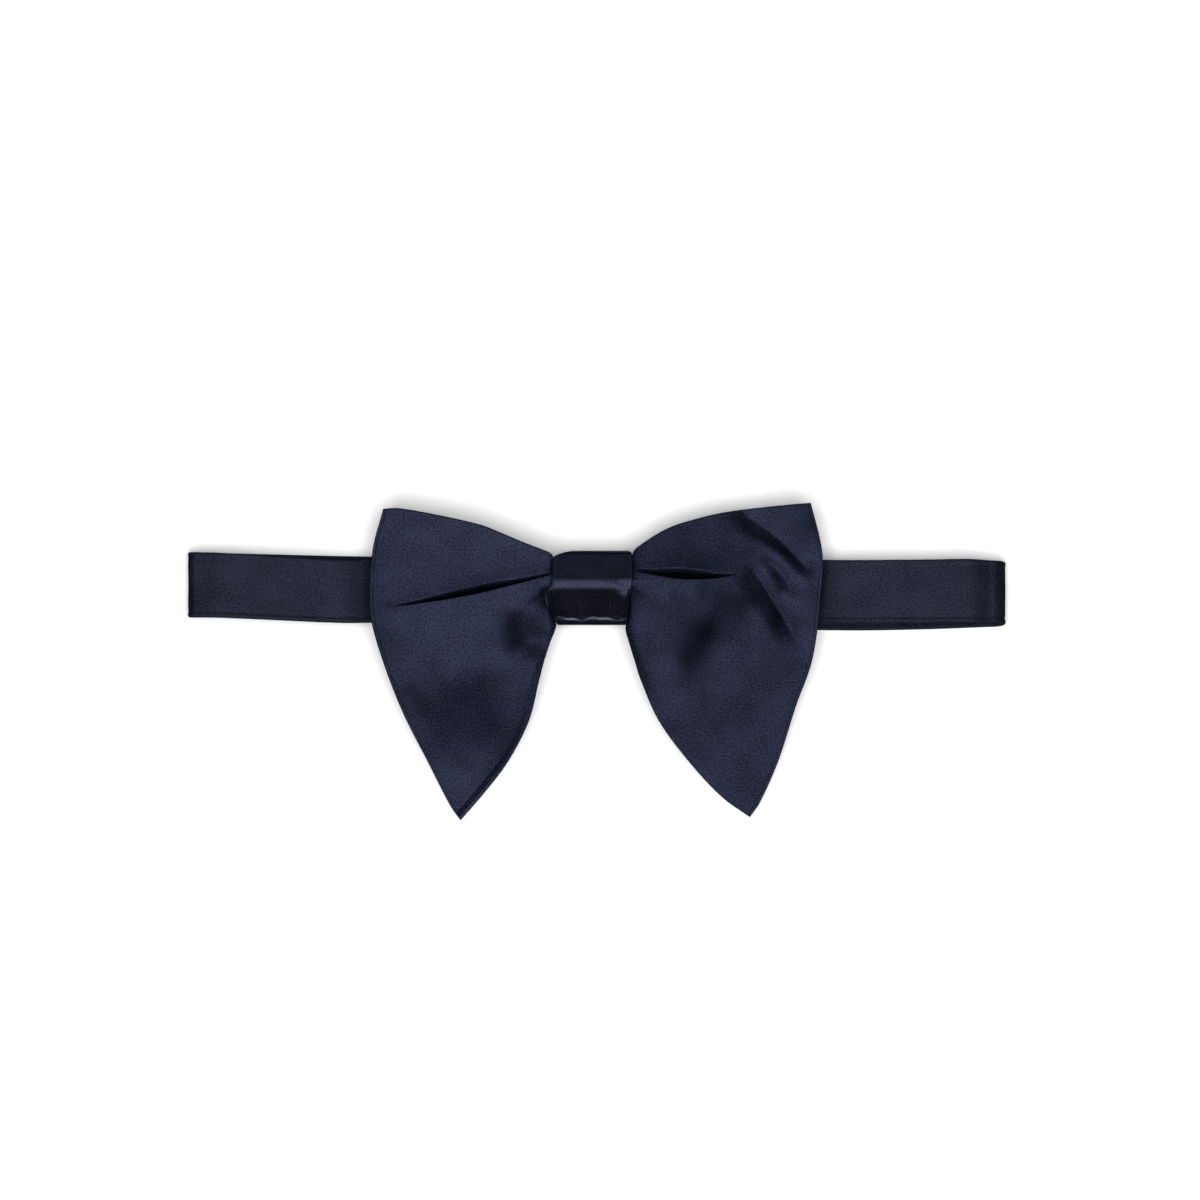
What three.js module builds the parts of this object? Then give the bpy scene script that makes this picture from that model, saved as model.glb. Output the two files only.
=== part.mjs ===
// A butterfly bow tie with long pointed ends, tied ready on a closed neckband and lying on its back.
// Millimetres. X runs along the neckband, Y from the points of the wings to their upper corners,
// and Z up from the surface that the bow tie lies on, so its front faces up.
// Every table is in the knot's own frame, with X and Y zero at the middle of the knot.
import * as THREE from "three";

// Cloth and gaps
const WING_CLOTH = 2.2; // a turned double layer of satin with its interlining
const ROOT_CLOTH = 1.1; // the same cloth pressed flat where the knot gathers it
const KNOT_CLOTH = 1.5;
const BAND_CLOTH = 1.4;
const GAP = 0.3; // left between pieces that touch
const ROOT_SLACK = 0.15; // more of a gap inside the knot, because its wall is faceted
const WING_RIM = 0.6; // share of the cloth's thickness that is left at a turned edge
const RIM_REACH = 2.4; // how far in from a wing's edge the cloth is at its full thickness
const ROOT_REACH = 0.16; // share of a ray over which a wing's cloth spreads from its root

// The knot is a wrap of satin round the roots of the wings and the front strand of the neckband.
// One row for each corner round it, seen from the end, with how far it reaches to each side.
const KNOT_ROUND = [
  { place: "upper side", y: 9.95, z: 7.4, left: 5.8, right: 10.2 },
  { place: "upper shoulder", y: 9.4, z: 11.4, left: 8.6, right: 10.6 },
  { place: "upper corner", y: 8.3, z: 13.1, left: 10.7, right: 10.7 },
  { place: "upper slope", y: 6.0, z: 14.6, left: 10.8, right: 10.7 },
  { place: "crest top", y: 2.9, z: 16.3, left: 10.9, right: 10.7 },
  { place: "crest", y: 1.2, z: 16.5, left: 11.2, right: 10.6 },
  { place: "crest foot", y: -0.8, z: 16.1, left: 12.1, right: 10.4 },
  { place: "lower slope", y: -3.2, z: 14.2, left: 11.9, right: 9.9 },
  { place: "lower lip", y: -8.4, z: 11.0, left: 10.6, right: 9.4 },
  { place: "lower side", y: -9.95, z: 7.0, left: 9.7, right: 9.1 },
  { place: "lower heel", y: -9.8, z: 4.6, left: 9.7, right: 9.2 },
  { place: "lower back", y: -8.4, z: 3.4, left: 9.8, right: 9.6 },
  { place: "back", y: 0, z: 3.2, left: 10.0, right: 10.0 },
  { place: "upper back", y: 8.4, z: 3.4, left: 9.2, right: 10.0 },
  { place: "upper heel", y: 9.8, z: 4.7, left: 6.8, right: 10.0 },
];
const ROOT_ROWS = { first: 1.9, last: 8.4 }; // the rows that a wing's root lies between
const KNOT_RIM_ROLL = 0.5; // how far the open ends of the wrap turn in
const KNOT_STEPS_ROUND = 48;
const KNOT_STEPS_ACROSS = 6;

// The wings. Out is the distance from the middle of the knot, up is along Y.
// Mouth: how far out the cloth leaves the knot, at shares of the way down across the wing.
// Rays: one row for each fold line from the knot to the outer edge, from the upper corner to the
// point, with where it ends and how high the cloth stands at shares of its length.
const HEIGHT_AT = { knot: 0.12, near: 0.3, middle: 0.5, far: 0.75, edge: 1 };
const LEFT_WING = {
  side: -1,
  mouth: [{ share: 0, out: 11.1 }, { share: 0.5, out: 12.9 }, { share: 1, out: 10.6 }],
  top: [
    { out: 11.1, up: 8.8 },
    { out: 14.0, up: 10.4 },
    { out: 19.4, up: 12.6 },
    { out: 24.8, up: 14.9 },
    { out: 30.2, up: 17.0 },
    { out: 41.0, up: 19.5 },
    { out: 51.8, up: 21.4 },
  ],
  inner: [
    { out: 10.9, up: -8.9 },
    { out: 10.6, up: -11.2 },
    { out: 11.4, up: -14.3 },
    { out: 13.2, up: -19.7 },
    { out: 14.5, up: -25.1 },
    { out: 17.3, up: -35.9 },
    { out: 22.8, up: -46.7 },
    { out: 29.2, up: -55.2 },
  ],
  rays: [
    { share: 0, out: 56.4, up: 21.3, knot: 13.1, near: 13.4, middle: 13.0, far: 12.2, edge: 11.2 },
    { share: 0.14, out: 59.3, up: 9.8, knot: 13.4, near: 13.6, middle: 13.3, far: 12.6, edge: 11.8 },
    { share: 0.34, out: 59.9, up: -6.8, knot: 13.8, near: 13.8, middle: 13.3, far: 12.6, edge: 12.0 },
    { share: 0.48, out: 56.5, up: -19.9, knot: 13.7, near: 13.7, middle: 13.1, far: 12.0, edge: 11.0 },
    { share: 0.63, out: 51.0, up: -34.0, knot: 13.2, near: 13.0, middle: 12.0, far: 9.4, edge: 7.0 },
    { share: 0.78, out: 44.3, up: -47.5, knot: 12.6, near: 12.2, middle: 10.0, far: 4.8, edge: 3.0 },
    { share: 0.92, out: 38.7, up: -58.6, knot: 11.8, near: 11.1, middle: 7.8, far: 2.8, edge: 1.2 },
    { share: 1, out: 35.8, up: -62.9, knot: 11.0, near: 10.2, middle: 6.6, far: 2.0, edge: 0.6 },
  ],
  // Tuck: one ray opens in a narrow slot, as far as its end, and the leaf over it rises towards it.
  tuck: { share: 0.33, end: 0.93, depth: 2.4, rise: 0.6, reach: 4.5 },
  // Folds: a row for each valley, with its depth, its width above and below its line, the shares of
  // the line over which it begins and ends, and the line. Bank 1 is even and 2 steepest at the line.
  folds: [
    {
      name: "dent by the knot",
      depth: 3.2, above: 12.0, below: 9.0, start: 0.5, end: 0.5, bank: 1,
      line: [{ out: 14.6, up: -4.0 }, { out: 14.2, up: -13.0 }, { out: 12.2, up: -20.0 }],
    },
    {
      name: "pinch at the knot",
      depth: 0.5, above: 2.0, below: 2.4, start: 0.3, end: 0.3, bank: 2,
      line: [{ out: 12.8, up: 0.5 }, { out: 12.4, up: -6.0 }],
    },
  ],
};
const RIGHT_WING = {
  side: 1,
  mouth: [{ share: 0, out: 11.0 }, { share: 0.5, out: 11.4 }, { share: 1, out: 9.6 }],
  top: [
    { out: 11.15, up: 9.6 },
    { out: 13.3, up: 11.7 },
    { out: 18.4, up: 15.0 },
    { out: 23.8, up: 17.3 },
    { out: 34.6, up: 20.1 },
    { out: 45.4, up: 21.6 },
    { out: 54.0, up: 22.5 },
  ],
  inner: [
    { out: 9.9, up: -8.9 },
    { out: 9.6, up: -11.2 },
    { out: 10.0, up: -14.3 },
    { out: 13.1, up: -25.1 },
    { out: 17.8, up: -35.9 },
    { out: 25.8, up: -46.7 },
    { out: 34.6, up: -56.2 },
  ],
  rays: [
    { share: 0, out: 58.8, up: 22.9, knot: 12.5, near: 11.4, middle: 11.0, far: 11.0, edge: 11.0 },
    { share: 0.15, out: 61.8, up: 10.0, knot: 13.2, near: 12.7, middle: 12.4, far: 12.0, edge: 11.2 },
    { share: 0.33, out: 61.5, up: -1.4, knot: 14.0, near: 14.2, middle: 13.9, far: 12.4, edge: 11.2 },
    { share: 0.49, out: 59.3, up: -18.9, knot: 13.9, near: 14.0, middle: 13.5, far: 11.7, edge: 10.4 },
    { share: 0.63, out: 54.8, up: -32.0, knot: 13.4, near: 13.0, middle: 12.0, far: 10.0, edge: 8.2 },
    { share: 0.78, out: 50.3, up: -46.3, knot: 12.8, near: 12.1, middle: 10.2, far: 7.2, edge: 5.0 },
    { share: 0.92, out: 45.4, up: -57.6, knot: 12.1, near: 11.1, middle: 8.4, far: 4.2, edge: 1.8 },
    { share: 1, out: 42.5, up: -62.0, knot: 11.3, near: 10.2, middle: 7.4, far: 3.2, edge: 0.6 },
  ],
  tuck: { share: 0.32, end: 0.62, depth: 2.4, rise: 0.7, reach: 9.0 },
  folds: [
    {
      name: "dent by the knot",
      depth: 3.0, above: 26.0, below: 13.0, start: 0.4, end: 0.5, bank: 1,
      line: [
        { out: 36.0, up: -2.0 }, { out: 35.5, up: -12.0 },
        { out: 34.0, up: -19.4 }, { out: 30.5, up: -27.0 },
      ],
    },
    {
      name: "upper valley",
      depth: 2.2, above: 20.0, below: 7.0, start: 0.1, end: 0.25, bank: 2,
      line: [
        { out: 37.8, up: 24.4 }, { out: 41.9, up: 18.9 }, { out: 49.3, up: 13.5 },
        { out: 54.7, up: 8.1 }, { out: 60.4, up: 2.2 },
      ],
    },
    {
      name: "small valley",
      depth: 1.0, above: 26.0, below: 3.6, start: 0.3, end: 0.3, bank: 2,
      line: [
        { out: 44.4, up: 8.2 }, { out: 49.3, up: 5.2 },
        { out: 52.5, up: 1.0 }, { out: 53.6, up: -4.0 },
      ],
    },
    {
      name: "long valley",
      depth: 2.0, above: 26.0, below: 6.5, start: 0.15, end: 0.3, bank: 2,
      line: [
        { out: 40.2, up: 7.4 }, { out: 43.8, up: 3.4 }, { out: 46.7, up: -0.9 },
        { out: 49.8, up: -5.6 }, { out: 53.4, up: -11.4 }, { out: 57.0, up: -19.0 },
      ],
    },
  ],
};
const ROOT_OUT = 0.6; // where a wing's root stops, inside the knot
const EDGE_BOW_POWER = 3; // how fast an edge's own curve dies away across the wing
const WING_STEPS_OUT = 24;
const WING_STEPS_ACROSS = 30;
const SLOT_HALF = 0.018; // half a tuck's width, as a share across the wing
const TUCK_LINES = [-0.04, -SLOT_HALF, 0, SLOT_HALF, 0.04]; // extra lines beside the tuck's ray
const LINE_SAMPLES = 60; // places on a fold's line that a point is measured from
const EDGE_LINES = [0.02, 0.98]; // lines close to the two long edges
const EDGE_STATIONS = [0, 0.02, 0.97, 1]; // stations close to the mouth and the outer edge
const LINE_APART = 0.2; // share of a step that an even line keeps from an extra one
const TUCK_OPENS = 0.06; // share of a ray over which folds and a tuck's upper leaf begin at the knot
const SLOT_OPENS = 0.35; // share of a ray over which a tuck's slot grows to its full depth
const FACING_STEP = 0.02;

// The neckband is a strap sewn to a loop of the neck's size and laid flat, the back strand on the
// surface. Its ends meet at the back under the clasp. A row for each place along a strand.
const BAND_PINCHED = 14.8; // width inside the knot
const FRONT_STRAND = [
  { x: -107.4, y: 0.8, z: 5.6, width: 17.7 },
  { x: -101, y: 0.7, z: 6.4, width: 17.6 },
  { x: -90, y: 0.15, z: 7.0, width: 17.4 },
  { x: -68, y: -1.0, z: 7.4, width: 17.0 },
  { x: -57, y: -0.9, z: 5.0, width: 17.0 },
  { x: -24, y: -0.2, z: 5.0, width: 16.6 },
  { x: -13.5, y: 0, z: 5.65, width: BAND_PINCHED },
  { x: 13.5, y: 0, z: 5.65, width: BAND_PINCHED },
  { x: 24, y: -0.2, z: 5.0, width: 16.6 },
  { x: 56, y: -0.8, z: 5.0, width: 17.0 },
  { x: 68, y: -1.0, z: 7.4, width: 17.0 },
  { x: 90, y: -0.9, z: 7.4, width: 17.1 },
  { x: 102, y: -0.8, z: 7.1, width: 17.2 },
  { x: 107.5, y: -1.0, z: 5.9, width: 16.8 },
];
const BACK_STRAND = [
  { x: 107.5, y: -2.0, z: 0.7, width: 17.2 },
  { x: 90, y: -2.75, z: 0.7, width: 17.0 },
  { x: 68, y: -3.05, z: 0.7, width: 17.0 },
  { x: 34, y: -2.15, z: 0.7, width: 17.0 },
  { x: 0, y: -1.1, z: 0.7, width: 17.0 },
  { x: -34, y: -0.4, z: 0.7, width: 17.0 },
  { x: -68, y: 0.1, z: 0.7, width: 17.0 },
  { x: -90, y: 0.5, z: 0.7, width: 17.3 },
  { x: -107.4, y: 0.8, z: 0.7, width: 17.6 },
];
const FOLD_REACH = { left: 1.3, right: 3.4 }; // how far each end's fold bulges past its strands
const FOLD_STEPS = { left: 6, right: 8 };
const STRAND_STEP = 7; // between sections along a strand
const BACK_SLIT = 0.6; // between the strap's two ends
const STRAP_CHAMFER = 0.35;
const LEVEL_RISE = 0.2; // rise per millimetre under which the strap on the surface lies level

// The clasp: one plain plate over the strap's two ends
const CLASP = { length: 16, width: 13, thickness: 1.0, corner: 2.5, cornerSteps: 4 };

const FINISH = {
  wing: { color: 0x272d42, roughness: 0.42, metalness: 0 },
  knot: { color: 0x202438, roughness: 0.34, metalness: 0 },
  band: { color: 0x252b3f, roughness: 0.5, metalness: 0 },
  clasp: { color: 0x2a2c30, roughness: 0.4, metalness: 0.8 },
};

function smoothstep(low, high, value) {
  return THREE.MathUtils.smoothstep(value, low, high);
}

// The value of one column of a table at a place between its rows, on a curve through them.
// The rows are in order of the column named along, rising or falling.
function between(rows, along, place, column) {
  const rising = rows[0][along] < rows.at(-1)[along];
  const next = rows.findIndex((row) => (rising ? row[along] >= place : row[along] <= place));
  const last = rows.length - 1;
  const high = next < 0 ? last : Math.max(next, 1);
  const low = high - 1;
  const step = rows[high][along] - rows[low][along];
  const t = THREE.MathUtils.clamp((place - rows[low][along]) / step, 0, 1);
  const slope = (i) => {
    const before = rows[Math.max(i - 1, 0)];
    const after = rows[Math.min(i + 1, last)];
    return (after[column] - before[column]) / (after[along] - before[along]);
  };
  const [a, b] = [rows[low][column], rows[high][column]];
  const [m, n] = [slope(low) * step, slope(high) * step];
  const [t2, t3] = [t * t, t * t * t];
  return a * (2 * t3 - 3 * t2 + 1) + m * (t3 - 2 * t2 + t) + b * (3 * t2 - 2 * t3) + n * (t3 - t2);
}

// A closed solid through sections, each a row of front points over a row of back points. An open run
// is closed by a strip at each end, and a closed one joins its last section to its first.
function loft(sections, closed = false) {
  const rings = sections.map(({ front, back }) => [...front, ...back.toReversed()]);
  const round = rings[0].length;
  const at = (ring, k) => (ring % rings.length) * round + (k % round);
  const faces = [];
  const quad = (a, b, c, d) => faces.push(a, b, c, a, c, d);
  const runs = closed ? rings.length : rings.length - 1;
  for (let i = 0; i < runs; i++) {
    for (let k = 0; k < round; k++) quad(at(i, k), at(i + 1, k), at(i + 1, k + 1), at(i, k + 1));
  }
  for (let k = 0; !closed && k < round / 2 - 1; k++) {
    const [a, b, c, d] = [k, k + 1, round - 2 - k, round - 1 - k];
    quad(at(0, a), at(0, b), at(0, c), at(0, d));
    quad(at(runs, d), at(runs, c), at(runs, b), at(runs, a));
  }
  const points = rings.flat();
  const volume = faces.reduce((sum, _, f) => {
    if (f % 3) return sum;
    const [a, b, c] = [points[faces[f]], points[faces[f + 1]], points[faces[f + 2]]];
    return sum + a.dot(new THREE.Vector3().crossVectors(b, c));
  }, 0);
  if (volume < 0) faces.reverse();
  const geometry = new THREE.BufferGeometry().setFromPoints(points);
  geometry.setIndex(faces);
  geometry.computeVertexNormals();
  return geometry;
}

function piece(name, geometry, finish) {
  const mesh = new THREE.Mesh(geometry, new THREE.MeshStandardMaterial(finish));
  mesh.name = name;
  return mesh;
}

// The knot's outline seen from the end, at a share of the way round, moved in by a distance.
const knotCurve = new THREE.CatmullRomCurve3(
  KNOT_ROUND.map(({ y, z }) => new THREE.Vector3(0, y, z)),
  true,
);
function knotOutline(share, inset) {
  const point = knotCurve.getPoint(share % 1);
  const tangent = knotCurve.getTangent(share % 1);
  return { y: point.y - tangent.z * inset, z: point.z + tangent.y * inset };
}

// How far the knot reaches to one side, at a share of the way round.
function knotReach(share, side) {
  const place = share * KNOT_ROUND.length;
  const from = KNOT_ROUND[Math.floor(place) % KNOT_ROUND.length];
  const to = KNOT_ROUND[(Math.floor(place) + 1) % KNOT_ROUND.length];
  return THREE.MathUtils.lerp(from[side], to[side], place % 1);
}

// The wrap: a section of its wall at each step round it, from its left end to its right end.
function knot() {
  const sections = [];
  for (let i = 0; i < KNOT_STEPS_ROUND; i++) {
    const share = i / KNOT_STEPS_ROUND;
    const row = (inset, rolled) => {
      const points = [];
      for (let k = 0; k <= KNOT_STEPS_ACROSS; k++) {
        const across = k / KNOT_STEPS_ACROSS;
        const x = THREE.MathUtils.lerp(-knotReach(share, "left"), knotReach(share, "right"), across);
        const rim = k === 0 || k === KNOT_STEPS_ACROSS ? rolled : 0;
        const { y, z } = knotOutline(share, inset + rim);
        points.push(new THREE.Vector3(x, y, z));
      }
      return points;
    };
    sections.push({ front: row(0, KNOT_RIM_ROLL), back: row(KNOT_CLOTH, 0) });
  }
  return loft(sections, true);
}

// A wing's edge as a curve, from the mouth of the knot through its rows to the ray that it ends on.
function edgeCurve(start, rows, end) {
  const points = [start, ...rows, end].map(({ out, up }) => new THREE.Vector3(out, up, 0));
  return new THREE.CatmullRomCurve3(points);
}

// The arch that the cloth of a wing is gathered to inside the knot, a cloth's half thickness and a
// gap inside its wall, from the upper side to the lower one. A rise moves it out towards the wall.
function rootArch(share, rise = 0) {
  const inset = KNOT_CLOTH + GAP + ROOT_SLACK + ROOT_CLOTH / 2 - rise;
  const row = THREE.MathUtils.lerp(ROOT_ROWS.first, ROOT_ROWS.last, share);
  return knotOutline(row / KNOT_ROUND.length, inset);
}

// How far a tuck lowers the cloth at a share across the wing: a V at its own ray, less the rise of
// the leaf above it. Above is the distance over that ray.
function tuckDrop(tuck, along, across, above) {
  const closing = 1 - smoothstep(tuck.end / 3, tuck.end, along);
  const slot = Math.max(0, 1 - Math.abs(across - tuck.share) / SLOT_HALF);
  const leaf = above > 0 ? 1 - smoothstep(0, tuck.reach, above) : 0;
  const deep = tuck.depth * slot * smoothstep(0, SLOT_OPENS, along);
  return closing * (deep - tuck.rise * leaf * (1 - slot) * smoothstep(0, TUCK_OPENS, along));
}

// How far a fold lowers the cloth: by its depth at its line, and less across its banks to both sides
// and towards its ends.
function foldDrop(fold, points, out, up) {
  const place = new THREE.Vector3(out, up, 0);
  const apart = points.map((point) => point.distanceTo(place));
  const nearest = apart.indexOf(Math.min(...apart));
  const [before, after] = [Math.max(nearest - 1, 0), Math.min(nearest + 1, LINE_SAMPLES)];
  const way = points[after].clone().sub(points[before]);
  const above = way.cross(place.sub(points[nearest])).z > 0;
  const share = nearest / LINE_SAMPLES;
  const run = smoothstep(0, fold.start, share) * (1 - smoothstep(1 - fold.end, 1, share));
  const bank = Math.max(0, 1 - apart[nearest] / (above ? fold.above : fold.below));
  return fold.depth * run * (fold.bank === 1 ? smoothstep(0, 1, bank) : bank ** 2 * (3 - bank) / 2);
}

// The middle of a wing's cloth at a share of the way along its rays and a share across them, with
// its tuck and folds or smooth.
function wingCloth(wing) {
  const { rays, mouth } = wing;
  const arch = (across) => {
    const { y, z } = rootArch(across);
    return { out: between(mouth, "share", across, "out"), up: y, height: z };
  };
  const top = edgeCurve(arch(0), wing.top, rays[0]);
  const inner = edgeCurve(arch(1), wing.inner, rays.at(-1));
  const lines = wing.folds.map((fold) => edgeCurve(fold.line[0], fold.line.slice(1, -1), fold.line.at(-1)));
  const linePoints = lines.map((line) => line.getSpacedPoints(LINE_SAMPLES));
  return (along, across, folded = true) => {
    const root = arch(across);
    const rim = {
      out: between(rays, "share", across, "out"),
      up: between(rays, "share", across, "up"),
    };
    const place = { out: 0, up: 0 };
    for (const [key, axis] of [["out", "x"], ["up", "y"]]) {
      const straight = (edge) =>
        THREE.MathUtils.lerp(edge.getPoint(0)[axis], edge.getPoint(1)[axis], along);
      const topBow = top.getPointAt(along)[axis] - straight(top);
      const innerBow = inner.getPointAt(along)[axis] - straight(inner);
      place[key] =
        THREE.MathUtils.lerp(root[key], rim[key], along) +
        topBow * (1 - across) ** EDGE_BOW_POWER +
        innerBow * across ** EDGE_BOW_POWER;
    }
    const heights = [{ share: 0, height: root.height }];
    for (const [column, share] of Object.entries(HEIGHT_AT)) {
      heights.push({ share, height: between(rays, "share", across, column) });
    }
    let height = between(heights, "share", along, "height");
    if (folded) {
      const width = top.getPointAt(along).distanceTo(inner.getPointAt(along));
      height -= tuckDrop(wing.tuck, along, across, (wing.tuck.share - across) * width);
      const free = smoothstep(0, TUCK_OPENS, along);
      wing.folds.forEach((fold, i) => {
        height -= free * foldDrop(fold, linePoints[i], place.out, place.up);
      });
    }
    return new THREE.Vector3(wing.side * place.out, place.up, height);
  };
}

// Shares from 0 to 1 in even steps, with some more put in.
function shares(steps, more) {
  const even = Array.from({ length: steps + 1 }, (_, i) => i / steps);
  const apart = LINE_APART / steps;
  const clear = even.filter((share) => more.every((extra) => Math.abs(extra - share) > apart));
  return [...clear, ...more].sort((a, b) => a - b);
}

// The way that the front of a wing's cloth faces: out of the arch at its root, and then square to
// the smooth cloth, so that no fold is sharp enough for the cloth to cut itself.
function clothFacing(cloth, side, along, across) {
  const [before, after] = [Math.max(along - FACING_STEP, 0), Math.min(along + FACING_STEP, 1)];
  const [above, below] = [Math.max(across - FACING_STEP, 0), Math.min(across + FACING_STEP, 1)];
  const outward = cloth(after, across, false).sub(cloth(before, across, false));
  const downward = cloth(along, below, false).sub(cloth(along, above, false));
  const square = outward.cross(downward).normalize().multiplyScalar(-side);
  const [low, high] = [rootArch(across), rootArch(across, 1)];
  const radial = new THREE.Vector3(0, high.y - low.y, high.z - low.z);
  return radial.lerp(square, smoothstep(0, ROOT_REACH, along)).normalize();
}

function wing(shape) {
  const cloth = wingCloth(shape);
  const beside = TUCK_LINES.map((line) => shape.tuck.share + line);
  const lines = shares(WING_STEPS_ACROSS, [...EDGE_LINES, ...beside]);
  const stations = shares(WING_STEPS_OUT, EDGE_STATIONS);
  const thickness = (point, along, across) => {
    const edges = [cloth(along, 0), cloth(along, 1), cloth(1, across)];
    const nearest = Math.min(...edges.map((edge) => edge.distanceTo(point)));
    const rim = THREE.MathUtils.lerp(WING_RIM, 1, smoothstep(0, RIM_REACH, nearest));
    const full = THREE.MathUtils.lerp(ROOT_CLOTH, WING_CLOTH, smoothstep(0, ROOT_REACH, along));
    return Math.max(ROOT_CLOTH, full * rim) / 2;
  };
  const sections = [];
  for (const out of [ROOT_OUT, shape.mouth.at(-1).out / 2]) {
    const row = (rise) =>
      lines.map((across) => {
        const { y, z } = rootArch(across, rise);
        return new THREE.Vector3(shape.side * out, y, z);
      });
    sections.push({ front: row(ROOT_CLOTH / 2), back: row(-ROOT_CLOTH / 2) });
  }
  for (const along of stations) {
    const section = { front: [], back: [] };
    for (const across of lines) {
      const point = cloth(along, across);
      const facing = clothFacing(cloth, shape.side, along, across);
      const half = thickness(point, along, across);
      const front = point.clone().addScaledVector(facing, half);
      const back = point.clone().addScaledVector(facing, -half);
      const sunk = Math.max(0, -back.z);
      front.z += sunk;
      back.z += sunk;
      section.front.push(front);
      section.back.push(back);
    }
    sections.push(section);
  }
  return loft(sections);
}

// The strap's section at a place on its loop, square to the way that the loop runs.
function strapSection(point, normal, width) {
  const [half, thick] = [width / 2, BAND_CLOTH / 2];
  const across = [-half, -half + STRAP_CHAMFER, half - STRAP_CHAMFER, half];
  const row = (sign) =>
    across.map((y, k) => {
      const chamfer = k === 0 || k === 3 ? STRAP_CHAMFER : 0;
      return new THREE.Vector3(0, y, 0).add(point).addScaledVector(normal, sign * (thick - chamfer));
    });
  return { front: row(1), back: row(-1) };
}

function strandPoint(rows, x) {
  return {
    point: new THREE.Vector3(x, between(rows, "x", x, "y"), between(rows, "x", x, "z")),
    width: between(rows, "x", x, "width"),
  };
}

function strand(rows, from, to) {
  const steps = Math.ceil(Math.abs(to - from) / STRAND_STEP);
  const step = (to - from) / steps;
  return Array.from({ length: steps + 1 }, (_, i) => strandPoint(rows, from + step * i));
}

// The half turn at an end of the flattened loop, between the ends of two strands.
function fold(from, to, reach, side, steps) {
  return Array.from({ length: steps - 1 }, (_, i) => {
    const turn = (Math.PI * (i + 1)) / steps;
    const share = (1 - Math.cos(turn)) / 2;
    const point = from.point.clone().lerp(to.point, share);
    point.x += side * reach * Math.sin(turn);
    return { point, width: THREE.MathUtils.lerp(from.width, to.width, share) };
  });
}

function neckband() {
  const slit = BACK_SLIT / 2;
  const frontEnds = [FRONT_STRAND[0].x, FRONT_STRAND.at(-1).x];
  const toRight = strand(BACK_STRAND, slit, frontEnds[1]);
  const front = strand(FRONT_STRAND, frontEnds[1], frontEnds[0]);
  const fromLeft = strand(BACK_STRAND, frontEnds[0], -slit);
  const loop = [
    ...toRight,
    ...fold(toRight.at(-1), front[0], FOLD_REACH.right, 1, FOLD_STEPS.right),
    ...front,
    ...fold(front.at(-1), fromLeft[0], FOLD_REACH.left, -1, FOLD_STEPS.left),
    ...fromLeft,
  ];
  return loft(
    loop.map(({ point, width }, i) => {
      const before = loop[Math.max(i - 1, 0)].point;
      const after = loop[Math.min(i + 1, loop.length - 1)].point;
      const way = after.clone().sub(before).setY(0).normalize();
      const flat = point.z <= BAND_CLOTH / 2 && Math.abs(way.z) < LEVEL_RISE;
      const normal = flat ? new THREE.Vector3(0, 0, 1) : new THREE.Vector3(-way.z, 0, way.x);
      return strapSection(point, normal, width);
    }),
  );
}

function clasp() {
  const { length, width, thickness, corner } = CLASP;
  const [x, y] = [length / 2, width / 2];
  const outline = new THREE.Shape();
  outline.moveTo(x, corner - y);
  outline.absarc(x - corner, y - corner, corner, 0, Math.PI / 2);
  outline.absarc(corner - x, y - corner, corner, Math.PI / 2, Math.PI);
  outline.absarc(corner - x, corner - y, corner, Math.PI, Math.PI * 1.5);
  outline.absarc(x - corner, corner - y, corner, Math.PI * 1.5, Math.PI * 2);
  return new THREE.ExtrudeGeometry(outline, {
    depth: thickness,
    bevelEnabled: false,
    curveSegments: CLASP.cornerSteps,
  });
}

const bowTie = new THREE.Group();
bowTie.add(piece("left_wing", wing(LEFT_WING), FINISH.wing));
bowTie.add(piece("right_wing", wing(RIGHT_WING), FINISH.wing));
bowTie.add(piece("knot", knot(), FINISH.knot));
bowTie.add(piece("neckband", neckband(), FINISH.band));
const plate = piece("clasp", clasp(), FINISH.clasp);
plate.position.set(0, between(BACK_STRAND, "x", 0, "y"), BAND_CLOTH + GAP);
bowTie.add(plate);

// The part's origin is on the surface under the middle of the whole bow tie.
const box = new THREE.Box3().setFromObject(bowTie, true);
const middle = box.getCenter(new THREE.Vector3());
bowTie.position.set(-middle.x, -middle.y, -box.min.z);

export default bowTie;
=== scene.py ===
# %% [markdown]
# # A butterfly bow tie in dark navy satin
#
# The bow tie lies flat on a pale surface and is seen from straight above. Two long wings droop from
# a wrapped knot, and a closed neckband runs out to both sides. The solids of the real size are
# loaded first and never change. Each soft piece is then made again as a fine surface in the same
# place, because a dent or a seam is too small for the plain solid, and the light shows every one.

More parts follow.
